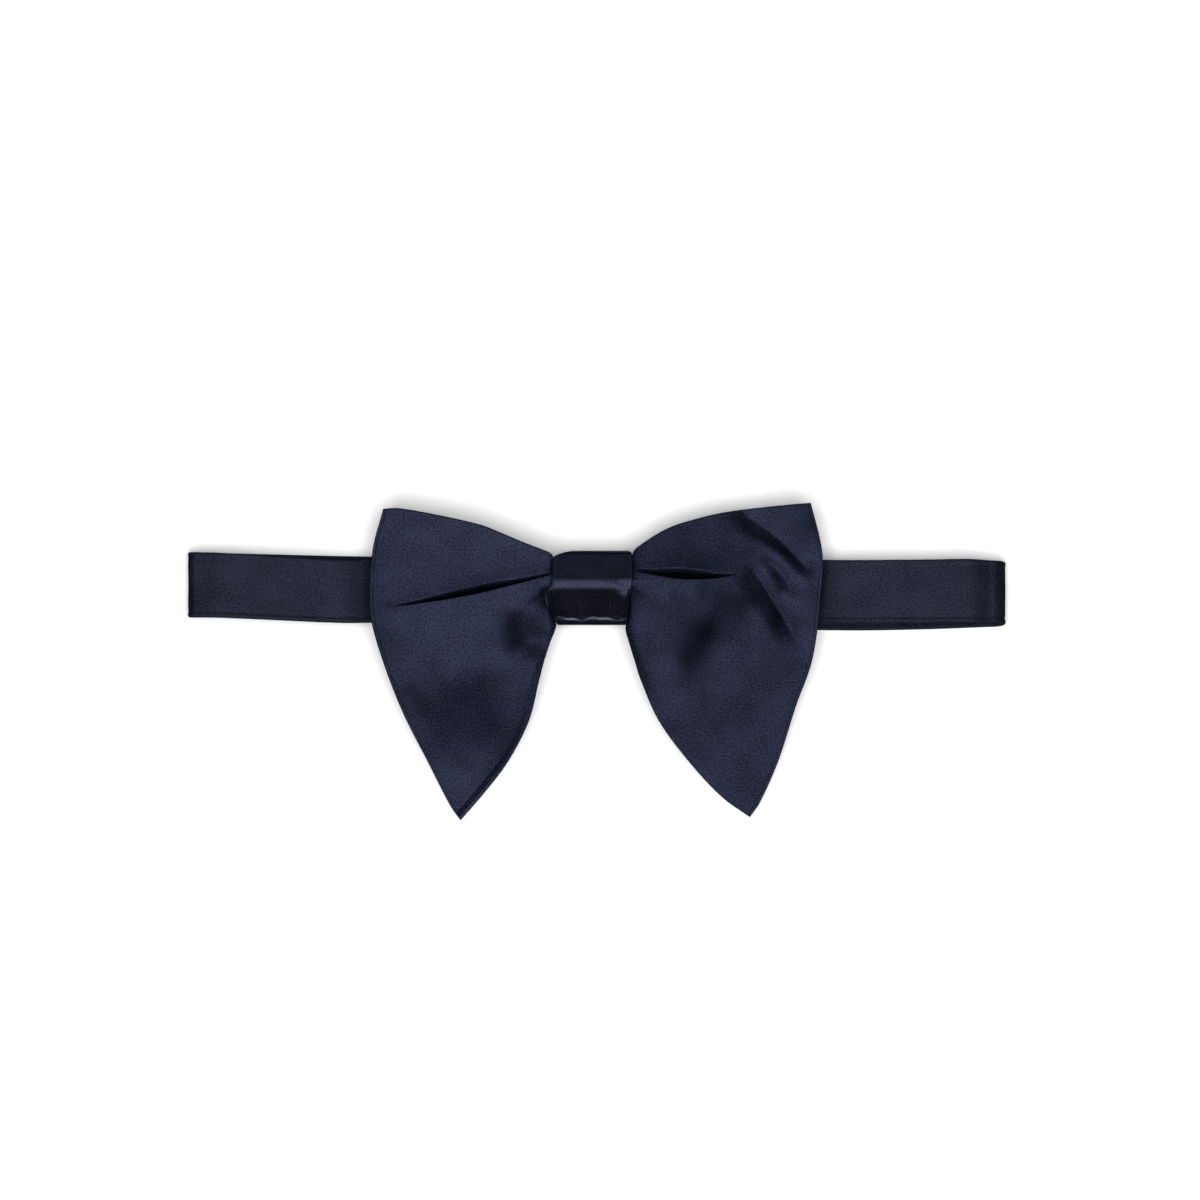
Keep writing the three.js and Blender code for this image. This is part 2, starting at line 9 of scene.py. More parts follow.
import bpy
import numpy as np
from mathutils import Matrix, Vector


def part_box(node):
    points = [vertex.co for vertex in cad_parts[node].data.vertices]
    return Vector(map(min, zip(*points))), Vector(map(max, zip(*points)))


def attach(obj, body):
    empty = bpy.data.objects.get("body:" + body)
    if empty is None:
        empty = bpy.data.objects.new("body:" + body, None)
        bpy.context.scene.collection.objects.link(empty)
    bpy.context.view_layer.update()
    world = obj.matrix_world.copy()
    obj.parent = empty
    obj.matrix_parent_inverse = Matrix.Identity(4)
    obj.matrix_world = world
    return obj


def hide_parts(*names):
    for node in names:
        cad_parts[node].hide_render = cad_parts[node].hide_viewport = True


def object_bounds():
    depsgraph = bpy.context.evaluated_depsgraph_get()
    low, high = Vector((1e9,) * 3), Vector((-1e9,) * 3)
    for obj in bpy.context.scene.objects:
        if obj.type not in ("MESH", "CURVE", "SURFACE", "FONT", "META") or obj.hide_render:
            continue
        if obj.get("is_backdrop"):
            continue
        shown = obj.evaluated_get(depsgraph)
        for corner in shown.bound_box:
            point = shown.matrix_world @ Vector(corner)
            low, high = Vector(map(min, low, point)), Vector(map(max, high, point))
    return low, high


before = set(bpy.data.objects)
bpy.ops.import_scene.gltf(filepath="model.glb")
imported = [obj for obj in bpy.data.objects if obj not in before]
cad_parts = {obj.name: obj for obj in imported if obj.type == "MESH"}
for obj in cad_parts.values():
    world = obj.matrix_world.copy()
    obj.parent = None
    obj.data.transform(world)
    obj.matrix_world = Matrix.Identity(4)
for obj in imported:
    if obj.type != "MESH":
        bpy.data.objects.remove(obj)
solid_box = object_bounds()
print("nodes:", sorted(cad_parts))

# %% [markdown]
# ## One middle for every table
#
# A maker measures a bow tie from the middle of its knot. So do the tables below, in millimetres: X
# to the right, Y up in the picture and Z up from the surface. The clasp lies right behind the knot,
# so its box gives the place of that middle in the frame.

# %% The middle of the knot
MM = 0.001
CLASP_BELOW_MIDDLE = 1.1  # the neckband's back strand lies a little low behind the knot

clasp_low, clasp_high = (np.array(corner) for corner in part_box("clasp"))
middle = (clasp_low + clasp_high) / 2 + [0, CLASP_BELOW_MIDDLE * MM, 0]
middle[2] = 0


def placed(points):
    """Metres in the frame: millimetres from the middle of the knot, scaled and moved to it."""
    return np.asarray(points) * MM + middle


print("middle of the knot:", middle.round(5))

# %% [markdown]
# ## Smooth curves through short tables
#
# Cloth has few corners, so a handful of measured rows and a smooth curve through them describe it
# better than many points. Each stretch between two rows is a cubic whose slope at a row is the slope
# between that row's neighbours. The same rule draws edges, heights and the knot's outline.


# %% Curves and soft steps
def through(knots, values, at):
    """The cubic through the rows: a(2t3 - 3t2 + 1) + m(t3 - 2t2 + t) + b(3t2 - 2t3) + n(t3 - t2).

    a and b are the values at the rows on both sides, m and n their slopes times the step, and t the
    share of the step. A row's value is one number, or an array with the shape of at.
    """
    knots, values, at = (np.asarray(part, float) for part in (knots, values, at))
    rows = np.arange(len(knots))
    before, after = np.maximum(rows - 1, 0), np.minimum(rows + 1, len(knots) - 1)
    run = (knots[after] - knots[before]).reshape((-1,) + (1,) * (values.ndim - 1))
    slopes = (values[after] - values[before]) / run
    at = np.clip(at, knots[0], knots[-1])
    low = np.clip(np.searchsorted(knots, at, side="right") - 1, 0, len(knots) - 2)

    def pick(column, row):
        return column[row] if column.ndim == 1 else np.take_along_axis(column, row[None], 0)[0]

    step = knots[low + 1] - knots[low]
    t = (at - knots[low]) / step
    a, b = pick(values, low), pick(values, low + 1)
    m, n = pick(slopes, low) * step, pick(slopes, low + 1) * step
    t2, t3 = t * t, t * t * t
    return a * (2 * t3 - 3 * t2 + 1) + m * (t3 - 2 * t2 + t) + b * (3 * t2 - 2 * t3) + n * (t3 - t2)


def column(rows, name):
    """One named column of a table as an array."""
    return np.array([row[name] for row in rows], float)


def soft_step(low, high, value):
    """0 at low, 1 at high and past it, and t squared times (3 - 2t) between them."""
    t = np.clip((value - low) / (high - low), 0, 1)
    return t * t * (3 - 2 * t)


def bell(value, middle, width):
    """1 at middle, and e to the minus square of (value - middle) over width on both sides."""
    return np.exp(-(((value - middle) / width) ** 2))


def blend(a, b, share):
    """a at share 0, b at share 1, and a straight line between them."""
    return a + (b - a) * share


def drawn(points, samples=300):
    """The smooth curve through points: the share of its length and the place of many samples."""
    points = np.asarray(points, float)
    steps = np.sqrt(np.linalg.norm(np.diff(points, axis=0), axis=1))
    knots = np.concatenate([[0], np.cumsum(steps)])
    at = np.linspace(0, knots[-1], samples)
    fine = np.stack([through(knots, values, at) for values in points.T], -1)
    run = np.concatenate([[0], np.cumsum(np.linalg.norm(np.diff(fine, axis=0), axis=1))])
    return run / run[-1], fine


# %% [markdown]
# ## A sheet of cloth with two faces
#
# A turned double layer of satin is a thin closed body. It is made as two grids of points, a front
# and a back, which share the points of their rim, so there is no open seam to close later. Its
# thickness grows from a round rim to the full cloth, as interlining fills it.


# %% How thick the cloth is near its edge
BACK_RIM = 0.4  # the circle at the back's rim, as a share of the front's


def rim_faces(edge, rim, full, reach):
    """How far the front and the back lie from the cloth's middle at a distance from its edge. They
    meet at full - rim: the front rises from there in a quarter circle of radius rim and stays level,
    and the back falls away in a smaller circle and a long soft curve over reach."""
    turn = np.sqrt(1 - (1 - np.clip(edge / rim, 0, 1)) ** 2)
    meet = full - rim
    fall = (meet + full - BACK_RIM * rim) * soft_step(0, reach, edge)
    return meet + rim * turn, meet - BACK_RIM * rim * turn - fall


# %% Meshes from two grids
WEAVE_TILE = 100.0  # millimetres to one unit of the weave's own coordinates


def cloth_object(name, front, back, pattern, edge, deep=0.0, painted_light_mark=0.0, ring=False):
    """A closed mesh over two grids. The back shares the front's rim: all four sides, or only the two
    long sides of a ring, whose last row joins its first. Faces are turned over if the signed volume
    is below zero. pattern is each point's place in the cloth's weave, and edge how far it is from
    the cloth's edge, both in millimetres. deep is 1 at the bottom of a tuck's mouth, where the
    finish paints shade near black. The mark after deep is how much shade the finish paints, and
    below zero how much painted highlight."""
    rows, lines = front.shape[:2]
    front_id = np.arange(rows * lines).reshape(rows, lines)
    rim = np.zeros((rows, lines), bool)
    rim[:, [0, -1]] = True
    if not ring:
        rim[[0, -1]] = True
    back_id = np.where(rim, front_id, 0)
    back_id[~rim] = rows * lines + np.arange((~rim).sum())
    points = np.concatenate([front.reshape(-1, 3), back[~rim]])

    def quads(ids):
        ids = np.vstack([ids, ids[:1]]) if ring else ids
        corners = [ids[:-1, :-1], ids[1:, :-1], ids[1:, 1:], ids[:-1, 1:]]
        return np.stack([corner.ravel() for corner in corners], -1)

    faces = np.concatenate([quads(front_id), quads(back_id)[:, ::-1]])
    a, b, c, d = (points[faces[:, corner]] for corner in range(4))
    if (a * np.cross(b, c) + a * np.cross(c, d)).sum() < 0:
        faces = faces[:, ::-1]
    mesh = bpy.data.meshes.new(name)
    mesh.from_pydata(placed(points).tolist(), [], faces.tolist())
    mesh.polygons.foreach_set("use_smooth", np.ones(len(faces), bool))
    weave = np.concatenate([pattern.reshape(-1, 2), pattern[~rim]]) / WEAVE_TILE
    mesh.uv_layers.new(name="weave").data.foreach_set("uv", weave[faces.ravel()].ravel())
    for mark, values in {"edge": edge, "deep": deep + 0 * edge, "painted_light_mark": painted_light_mark + 0 * edge}.items():
        values = np.concatenate([values.ravel(), values[~rim]]).astype(np.float32)
        mesh.attributes.new(mark, "FLOAT", "POINT").data.foreach_set("value", values)
    mesh.validate()
    made = bpy.data.objects.new(name, mesh)
    bpy.context.scene.collection.objects.link(made)
    print(f"{name}: {2 * len(faces)} triangles")
    return made


def crowded(count, close=(), ends=()):
    """Even shares from 0 to 1, with more beside some shares, as (share, reach, count), and with more
    towards some ends, as (end, first step, growth, count)."""
    lines = [np.linspace(0, 1, count)]
    lines += [share + reach * np.linspace(-1, 1, more) for share, reach, more in close]
    lines += [abs(end - first * growth ** np.arange(more)) for end, first, growth, more in ends]
    return np.unique(np.clip(np.concatenate(lines), 0, 1).round(5))


# %% [markdown]
# ## The knot's outline
#
# The knot is a wrap of satin round the roots of both wings and the front strand. Seen from the end it
# is a flattened ring with a ridge across its front. Everything inside it follows the same ring: the
# wings are gathered to an arch that lies one wall, one gap and half a cloth further in. Its first
# and last rows are repeated past both ends, so the curve has no seam where the ring closes.

# %% Rows round the knot
KNOT_CLOTH = 1.5
ROOT_CLOTH = 1.1
WING_CLOTH = 2.2
BAND_CLOTH = 1.4
GAP = 0.45
KNOT_ROUND = [
    dict(place="upper side", y=9.95, z=7.4, left=5.8, right=10.2),
    dict(place="upper shoulder", y=9.4, z=11.4, left=8.6, right=10.6),
    dict(place="upper corner", y=8.3, z=13.1, left=10.7, right=10.7),
    dict(place="upper slope", y=6.0, z=14.6, left=10.8, right=10.7),
    dict(place="crest top", y=2.9, z=16.3, left=10.9, right=10.7),
    dict(place="crest", y=1.2, z=16.5, left=11.2, right=10.6),
    dict(place="crest foot", y=-0.8, z=16.1, left=12.1, right=10.4),
    dict(place="lower slope", y=-3.2, z=14.2, left=11.9, right=9.9),
    dict(place="lower lip", y=-8.4, z=11.0, left=10.6, right=9.4),
    dict(place="lower side", y=-9.95, z=7.0, left=9.7, right=9.1),
    dict(place="lower heel", y=-9.8, z=4.6, left=9.7, right=9.2),
    dict(place="lower back", y=-8.4, z=3.4, left=9.8, right=9.6),
    dict(place="back", y=0, z=3.2, left=10.0, right=10.0),
    dict(place="upper back", y=8.4, z=3.4, left=8.2, right=10.0),
    dict(place="upper heel", y=9.8, z=4.7, left=6.8, right=10.0),
]
ROOT_ROWS = (1.9, 8.4)  # a wing's root lies between these rows: upper corner to lower lip
BEFORE, AFTER = 2, 3  # how many rows are repeated at the start and at the end
KNOT_ROWS = KNOT_ROUND[-BEFORE:] + KNOT_ROUND + KNOT_ROUND[:AFTER]
round_steps = np.hypot(np.diff(column(KNOT_ROWS, "y")), np.diff(column(KNOT_ROWS, "z")))
round_marks = np.concatenate([[0], np.cumsum(np.sqrt(round_steps))])


def knot_columns(share, *names):
    """The named columns of the knot's rows, at a share of the way round it."""
    at = np.interp(share * len(KNOT_ROUND) + BEFORE, np.arange(len(KNOT_ROWS)), round_marks)
    return [through(round_marks, column(KNOT_ROWS, name), at) for name in names]


# %% The outline and the arch inside it
def knot_outline(share, inset=0.0, step=1e-3):
    """The outline's point at a share of its rows, moved in by inset square to the outline's own
    direction: y - tz times inset, z + ty times inset, where (ty, tz) is that direction."""
    share = np.asarray(share, float) % 1
    y, z = knot_columns(share, "y", "z")
    y0, z0 = knot_columns(share - step, "y", "z")
    y1, z1 = knot_columns(share + step, "y", "z")
    length = np.hypot(y1 - y0, z1 - z0)
    return y - (z1 - z0) / length * inset, z + (y1 - y0) / length * inset


def root_arch(across, rise=0.0):
    """The arch that a wing's root follows inside the wrap, at a share across the wing."""
    inset = KNOT_CLOTH + GAP + ROOT_CLOTH / 2 - rise
    return knot_outline(blend(*ROOT_ROWS, np.asarray(across)) / len(KNOT_ROUND), inset)


print("knot's ridge stands", max(row["z"] for row in KNOT_ROUND), "mm high")

# %% [markdown]
# ## The wings' tables
#
# A wing is a fan of cloth: rays run from the knot to the outer edge, and each ray has its own heights
# on the way. The upper edge and the inner lower edge bow away from straight rays, and that bow dies
# away across the wing. The mouth says how far out the cloth leaves the knot, at shares across the
# wing. Distances out are to the side of the knot, so one set of names does for both wings, and a
# side of -1 puts the wing on the left.

# %% Measured rows of both wings
HEIGHT_AT = dict(knot=0.12, near=0.3, middle=0.5, far=0.75, edge=1.0)


def ray(share, out, up, knot, near, middle, far, edge):
    """One ray: its share across the wing, where it ends, and its heights on the way."""
    return dict(share=share, out=out, up=up, knot=knot, near=near, middle=middle, far=far, edge=edge)


LEFT = dict(
    name="left_wing_cloth",
    side=-1,
    mouth=[(0.0, 10.8), (0.38, 10.95), (0.5, 11.3), (0.62, 12.2), (0.78, 12.0), (0.9, 11.2),
           (1.0, 10.4)],
    top=[(10.9, 8.8), (14.0, 10.4), (19.4, 12.6), (24.8, 14.9), (30.2, 17.0), (41.0, 19.5),
         (51.8, 21.4)],
    inner=[(10.1, -8.9), (9.8, -9.9), (10.5, -11.9), (11.6, -14.4), (13.3, -19.7), (14.6, -25.1),
           (17.3, -35.9), (22.8, -46.7), (29.2, -55.2)],
    rays=[
        ray(0.0, 56.4, 21.3, 13.2, 13.6, 13.4, 12.8, 11.9),
        ray(0.14, 59.3, 9.8, 13.4, 13.6, 13.3, 12.6, 11.8),
        ray(0.34, 59.9, -6.8, 13.8, 13.8, 13.3, 12.6, 12.0),
        ray(0.48, 56.5, -19.9, 13.7, 13.7, 13.1, 12.0, 11.0),
        ray(0.63, 51.0, -34.0, 13.2, 13.0, 12.3, 10.3, 7.3),
        ray(0.78, 44.3, -47.5, 12.6, 12.2, 10.5, 5.7, 3.4),
        ray(0.92, 38.7, -58.6, 11.8, 11.1, 8.3, 3.3, 1.3),
        ray(1.0, 35.8, -62.9, 11.0, 10.2, 7.1, 2.3, 0.6),
    ],
)
RIGHT = dict(
    name="right_wing_cloth",
    side=1,
    mouth=[(0.0, 10.75), (0.5, 10.7), (0.62, 10.5), (0.78, 10.0), (1.0, 9.5)],
    top=[(10.9, 9.4), (13.3, 11.7), (18.4, 15.0), (23.8, 17.3), (34.6, 20.1), (45.4, 21.6),
         (54.0, 22.5)],
    inner=[(9.4, -8.9), (8.9, -10.0), (9.1, -11.9), (9.9, -14.3), (11.5, -19.7), (13.2, -25.1),
           (17.9, -35.9), (25.8, -46.7), (34.6, -56.2)],
    rays=[
        ray(0.0, 58.8, 22.9, 12.5, 11.4, 11.0, 11.0, 11.0),
        ray(0.15, 61.8, 10.0, 13.2, 12.7, 12.4, 12.0, 11.2),
        ray(0.33, 61.5, -1.4, 14.0, 14.2, 13.9, 12.4, 11.2),
        ray(0.49, 59.3, -18.9, 13.9, 14.0, 13.5, 11.5, 10.1),
        ray(0.63, 54.8, -32.0, 13.4, 12.8, 11.7, 9.2, 7.0),
        ray(0.78, 50.3, -46.3, 12.8, 11.4, 9.5, 6.3, 3.7),
        ray(0.92, 45.4, -57.6, 12.1, 10.4, 7.9, 4.2, 1.35),
        ray(1.0, 42.5, -62.0, 11.3, 9.4, 7.2, 3.6, 0.6),
    ],
)

# %% [markdown]
# ## Tucks and folds
#
# Where the knot gathers the cloth, one deep tuck opens in each wing like a narrow mouth, and softer
# dents and valleys run out from it. All of them follow a path drawn on the wing from above. A fold
# has its own width on each side of its path, because a pressed valley is steep on one side and soft
# on the other, and it dies away towards its ends. A depth below zero is a ridge. Sculpting could
# make them too, but a path can be read off a picture and changed with one number.


# %% Paths on the wings
def fold(path, depth, above, below, start=0.3, end=0.3, even=False):
    """A valley, or a ridge if its depth is below zero: its path as (out, up) points, its depth, its
    width above and below the path, the shares of the path over which it begins and ends, and
    whether its banks are even curves or steepest at the path."""
    return dict(path=path, depth=depth, above=above, below=below, start=start, end=end, even=even)


LEFT["tuck"] = dict(
    path=[(10.4, 3.7), (14.0, 2.9), (24.8, 0.75), (35.6, -1.55), (46.4, -3.7), (55.0, -5.3)],
    half_widths=[(0.0, 0.25), (0.2, 0.58), (0.42, 1.0), (0.6, 0.88), (0.8, 0.45), (1.0, 0.02)],
    rise=0.6,
    reach=4.5,
    slot=2.6,
)
RIGHT["tuck"] = dict(
    path=[(10.4, 4.5), (15.7, 4.0), (23.8, 3.5), (29.2, 3.2), (33.2, 3.05), (39.2, 3.5)],
    half_widths=[(0.0, 0.2), (0.2, 0.6), (0.45, 1.3), (0.65, 1.0), (0.85, 0.4), (1.0, 0.02)],
    rise=0.7,
    reach=9.0,
    slot=2.8,
)
LEFT["folds"] = [
    fold([(16.6, -5.5), (16.6, -13.0), (14.6, -21.0)], 2.0, 9.5, 8.0, 0.6, 0.5, even=True),
    fold([(12.8, 0.5), (12.4, -6.0)], 0.5, 2.0, 2.4),
    fold([(55.0, -25.0), (48.3, -39.0), (39.5, -56.5)], -0.3, 4.5, 4.5, 0.2, 0.2, even=True),
]
RIGHT["folds"] = [
    fold([(33.4, 1.0), (33.4, -9.0), (33.2, -18.5), (31.0, -29.0)],
         2.2, 16.0, 10.5, 0.55, 0.5, even=True),
    fold([(37.8, 24.4), (41.9, 18.9), (48.0, 14.5)], 1.3, 11.0, 5.5, 0.1, 0.5),
    fold([(41.9, 18.9), (49.3, 13.5), (54.7, 8.1), (60.4, 2.2)], 1.4, 10.0, 3.8, 0.35, 0.25),
    fold([(44.4, 8.2), (49.3, 5.2), (52.5, 1.0), (53.6, -4.0)], 1.0, 6.0, 3.2),
    fold([(40.2, 7.4), (43.8, 3.4), (46.7, -0.9), (49.8, -5.6), (53.4, -11.4), (57.0, -19.0)],
         1.7, 8.0, 6.5, 0.2, 0.35),
]


# %% How far a path's fold lowers the cloth
def beside(path, out, up):
    """How far points lie above a path's line (below it: under zero), how far from it in all, and the
    share of its length at the nearest of its samples."""
    shares, line = drawn(path, 80)
    places = np.stack([out, up], -1).reshape(-1, 2)
    apart = np.linalg.norm(places[:, None] - line[None], axis=2)
    nearest = apart.argmin(1)
    way = np.gradient(line, axis=0)[nearest]
    way /= np.linalg.norm(way, axis=1, keepdims=True)
    off = places - line[nearest]
    above = way[:, 0] * off[:, 1] - way[:, 1] * off[:, 0]
    return [values.reshape(out.shape) for values in (above, apart.min(1), shares[nearest])]


def run_of(row, share):
    """1 along the middle of a row's path, with its soft start and its soft end."""
    return soft_step(0, row["start"], share) * (1 - soft_step(1 - row["end"], 1, share))


def fold_drop(row, out, up):
    """How far a fold lowers the cloth: a soft start and end along its path, times its depth and a
    bank. With b for (1 - distance over width), a bank is b squared times (3 - b) / 2, with a sharp
    line at its foot, or the soft step of b, with a round one."""
    above, apart, share = beside(row["path"], out, up)
    width = np.where(above > 0, row["above"], row["below"])
    foot = 1 - np.clip(apart / width, 0, 1)
    bank = soft_step(0, 1, foot) if row["even"] else foot**2 * (3 - foot) / 2
    return row["depth"] * run_of(row, share) * bank


# %% How a tuck opens
LIFT_START = -0.4  # below zero, so that the upper leaf still rises where the mouth cuts it
LEAF_TURN = 0.3  # millimetres to both sides of the mouth's edge over which the leaf turns down
LOWER_BANK = 0.35  # the slot's bank beside the lower leaf, as a share of the slot's half width


def tuck_drop(tuck, out, up):
    """The lift of the upper leaf, which rises towards the tuck over its reach, and the slot between
    the leaves: it falls from the upper one to a sharp line close to the lower one, which the back
    follows halfway. Both fade with the slot's width."""
    above, apart, share = beside(tuck["path"], out, up)
    shares, halves = zip(*tuck["half_widths"])
    half = through(shares, halves, share)
    open_share = half / max(halves)
    lifted = np.where(above > 0, 1 - soft_step(LIFT_START, 1, apart / tuck["reach"]), 0)
    lifted *= soft_step(-LEAF_TURN, LEAF_TURN, apart - half)
    place = np.where(above > 0, apart, -apart) / half
    banks = np.minimum(1 - place, (place + 1) / LOWER_BANK)
    inside = np.clip(banks / (2 - LOWER_BANK), 0, 1)
    slot = tuck["slot"] * np.sqrt(open_share) * inside
    return -tuck["rise"] * np.sqrt(open_share) * lifted, slot


# %% [markdown]
# ## Where shade is painted on the wings
#
# Where the satin would fall into shade beside its folds, strokes of painted shade darken its colour.
# They are as flat as the cloth round them, so no relief makes them. Each is a stroke along a path,
# and the finish reads how much shade is painted from the mesh itself.


# %% Strokes of painted shade
def shade(path, share, width, start=0.3, end=0.3):
    """A stroke of painted shade beside a fold: its path, how much it darkens, its width, and the
    shares of the path over which it begins and ends."""
    return dict(path=path, share=share, width=width, start=start, end=end)


LEFT["shades"] = [
    shade([(21.6, -4.0), (21.4, -11.0), (20.0, -18.5)], 0.56, 3.6, 0.2, 0.25),
    shade([(18.5, -13.0), (15.4, -19.5)], 0.12, 2.4),
    shade([(56.0, -8.0), (50.0, -21.0)], 0.16, 5.0),
    shade([(49.0, -4.1), (57.5, -5.0)], 0.3, 1.5),
    shade([(20.0, -18.0), (23.0, -28.0)], 0.2, 4.5),
    shade([(51.5, -25.0), (47.0, -30.0), (43.5, -34.5)], 0.42, 3.5),
    shade([(33.0, -24.5), (27.0, -25.5), (22.0, -22.0)], 0.24, 3.0),
    shade([(15.0, -9.0), (13.4, -16.0), (14.5, -24.0)], 0.25, 2.6),
    shade([(40.0, -35.0), (33.0, -39.5), (27.0, -40.0)], 0.3, 3.5),
    shade([(36.0, -42.0), (35.0, -50.0)], 0.2, 3.5),
    shade([(26.0, 5.4), (38.0, 3.6), (50.0, 2.1)], 0.2, 4.5),
    shade([(59.5, 3.0), (58.5, -10.0), (54.5, -24.0)], 0.34, 3.4, 0.2, 0.2),
    shade([(57.0, 15.0), (57.8, 1.0)], 0.22, 3.4),
]
RIGHT["shades"] = [
    shade([(29.6, -4.0), (29.2, -12.0), (27.2, -20.0), (25.6, -31.0)], 0.48, 4.0),
    shade([(29.0, -6.0), (36.5, -7.5), (45.0, -9.0)], 0.36, 4.6, 0.25),
    shade([(31.0, -8.0), (33.5, -20.0)], 0.22, 3.5),
    shade([(24.5, 0.5), (24.0, -13.0), (24.5, -26.0)], 0.32, 3.0, 0.2),
    shade([(26.0, -0.5), (35.0, -1.4), (45.5, -5.6)], 0.5, 4.2, 0.2),
    shade([(12.5, 4.0), (15.5, -8.0), (20.5, -24.0)], 0.25, 6.0, 0.15),
    shade([(43.0, 1.0), (47.4, -6.0), (52.0, -14.0)], 0.32, 2.6, 0.25, 0.35),
    shade([(44.0, -5.0), (49.5, -12.5), (54.0, -24.0)], 0.38, 4.6),
    shade([(59.5, 2.0), (57.8, -14.0)], 0.34, 3.0, 0.2),
    shade([(57.0, 25.0), (60.5, 13.0)], 0.34, 3.0),
    shade([(39.5, 18.4), (44.2, 13.8), (50.9, 10.2), (54.9, 6.2), (57.8, 3.0)], 0.52, 1.5, 0.1, 0.2),
    shade([(46.4, 5.4), (49.6, 1.8), (51.4, -3.0)], 0.72, 1.5),
    shade([(27.0, -23.0), (38.0, -26.0), (51.0, -20.0)], 0.24, 6.5, 0.2, 0.2),
    shade([(20.0, -1.0), (31.0, -5.0)], 0.25, 4.0, 0.2),
    shade([(43.2, 4.4), (46.2, -0.4), (49.3, -5.2), (52.6, -11.5)], 0.3, 1.1),
    shade([(38.0, 9.5), (45.0, 8.0), (50.5, 5.0)], 0.24, 2.6),
    shade([(36.5, 20.0), (37.0, 14.0), (35.0, 8.0)], 0.28, 2.8, 0.2, 0.4),
    shade([(10.6, -12.0), (12.6, -19.5), (15.4, -29.0)], 0.36, 3.0),
    shade([(46.0, 21.0), (54.5, 16.5), (60.0, 8.0)], 0.36, 5.5, 0.2, 0.2),
    shade([(33.5, 5.2), (24.0, 5.4)], 0.35, 1.0),
]


def painted_stroke_shade(row, out, up):
    """How much painted shade a stroke puts on: its share, times a bell of the distance over its
    width, times its soft start and end."""
    _, apart, share = beside(row["path"], out, up)
    return row["share"] * run_of(row, share) * bell(apart, 0, row["width"])


# %% [markdown]
# ## The wings
#
# The smooth cloth comes first, then its folds. The cloth's thickness is laid off square to the smooth
# cloth and not to the folded one, so the sides of a sharp fold can't pass through each other. At the
# left wing's inner edge the back leaf rolls out past the front one: a groove and a narrow roll follow
# that edge down to the point. The outer edges carry the fine line of the seam inside them.

# %% The smooth cloth of a wing
EDGE_BOW_POWER = 3
NECK_AT, NECK_SHARE = 0.014, 0.88  # the cloth dives under the wrap within a short way
ROOT_REACH = 0.16  # share of a ray over which the cloth spreads from its pressed root


def edge_bow(points, along):
    """How far the smooth curve through points is from the straight line between its ends."""
    shares, line = drawn(points)
    at = [np.interp(along, shares, line[:, axis]) for axis in range(2)]
    return [at[axis] - blend(points[0][axis], points[-1][axis], along) for axis in range(2)]


def wing_middle(wing, along, across):
    """The smooth middle of the cloth: (1 - along) times the root plus along times the outer edge,
    plus each long edge's bow times the cube of the distance from the other one. The root follows
    the mouth's table, and the heights go from the arch inside the knot over a steep neck to each
    ray's own row."""
    rays = wing["rays"]
    arch_up, arch_height = root_arch(across)
    root = [through(*zip(*wing["mouth"]), across), arch_up]
    ends = [through(column(rays, "share"), column(rays, axis), across) for axis in ("out", "up")]
    corner = {share: (wing["mouth"][-share][1], float(root_arch(share)[0])) for share in (0, 1)}
    last = {share: (rays[-share]["out"], rays[-share]["up"]) for share in (0, 1)}
    top = edge_bow([corner[0], *wing["top"], last[0]], along)
    inner = edge_bow([corner[1], *wing["inner"], last[1]], along)
    out, up = (
        blend(root[axis], ends[axis], along)
        + top[axis] * (1 - across) ** EDGE_BOW_POWER
        + inner[axis] * across**EDGE_BOW_POWER
        for axis in range(2)
    )
    heights = [through(column(rays, "share"), column(rays, name), across) for name in HEIGHT_AT]
    neck = blend(arch_height, heights[0], NECK_SHARE)
    stations = [0, NECK_AT, *HEIGHT_AT.values()]
    return out, up, through(stations, np.array([arch_height, neck, *heights]), along)


def wing_facing(middle_points, side, along, across):
    """Square to the smooth cloth: the cross product of its two directions. Inside the knot it is
    square to the arch, and it turns from one to the other over the first stretch of the rays."""
    outward, downward = np.gradient(middle_points, axis=(0, 1))
    square = -side * np.cross(outward, downward)
    square /= np.linalg.norm(square, axis=2, keepdims=True)
    (low_y, low_z), (high_y, high_z) = root_arch(across), root_arch(across, 1.0)
    radial = np.stack([np.zeros_like(low_y), high_y - low_y, high_z - low_z], -1)
    facing = blend(radial, square, soft_step(0, ROOT_REACH, along)[..., None])
    return facing / np.linalg.norm(facing, axis=2, keepdims=True)


# %% Lines along the wings' edges
SEAM_IN, SEAM_WIDTH, SEAM_DEPTH = 0.75, 0.16, 0.12
GROOVE_IN, GROOVE_WIDTH, GROOVE_DEPTH = 1.65, 0.32, 0.75
ROLL_STEP = 0.3  # how much lower the back leaf's roll lies than the front
ROLL_BEGINS = (0.42, 0.6)  # shares of a ray between which the roll comes out


def back_roll(edge, along):
    """The roll of the back leaf along the inner edge: a bell's narrow groove and, outside it, a step
    down that the back leaf fills. It comes out halfway down the wing."""
    groove = GROOVE_DEPTH * bell(edge, GROOVE_IN, GROOVE_WIDTH)
    step = ROLL_STEP * (1 - soft_step(1.2, 1.9, edge))
    return soft_step(*ROLL_BEGINS, along) * (groove + step)


# %% Make the wings
WING_STEPS_OUT = 176
WING_STEPS_ACROSS = 136
TUCK_SHARE = 0.325  # where both tucks run, as a share of the way across
ROOT_OUTS = (0.6, 1.2, 3.0, 6.0, 9.0)  # how far out the rows inside the knot are
FOLDS_FROM = 0.04  # share of a ray past which the folds have their full depth
WING_RIM = 0.5
RIM_REACH = 2.6


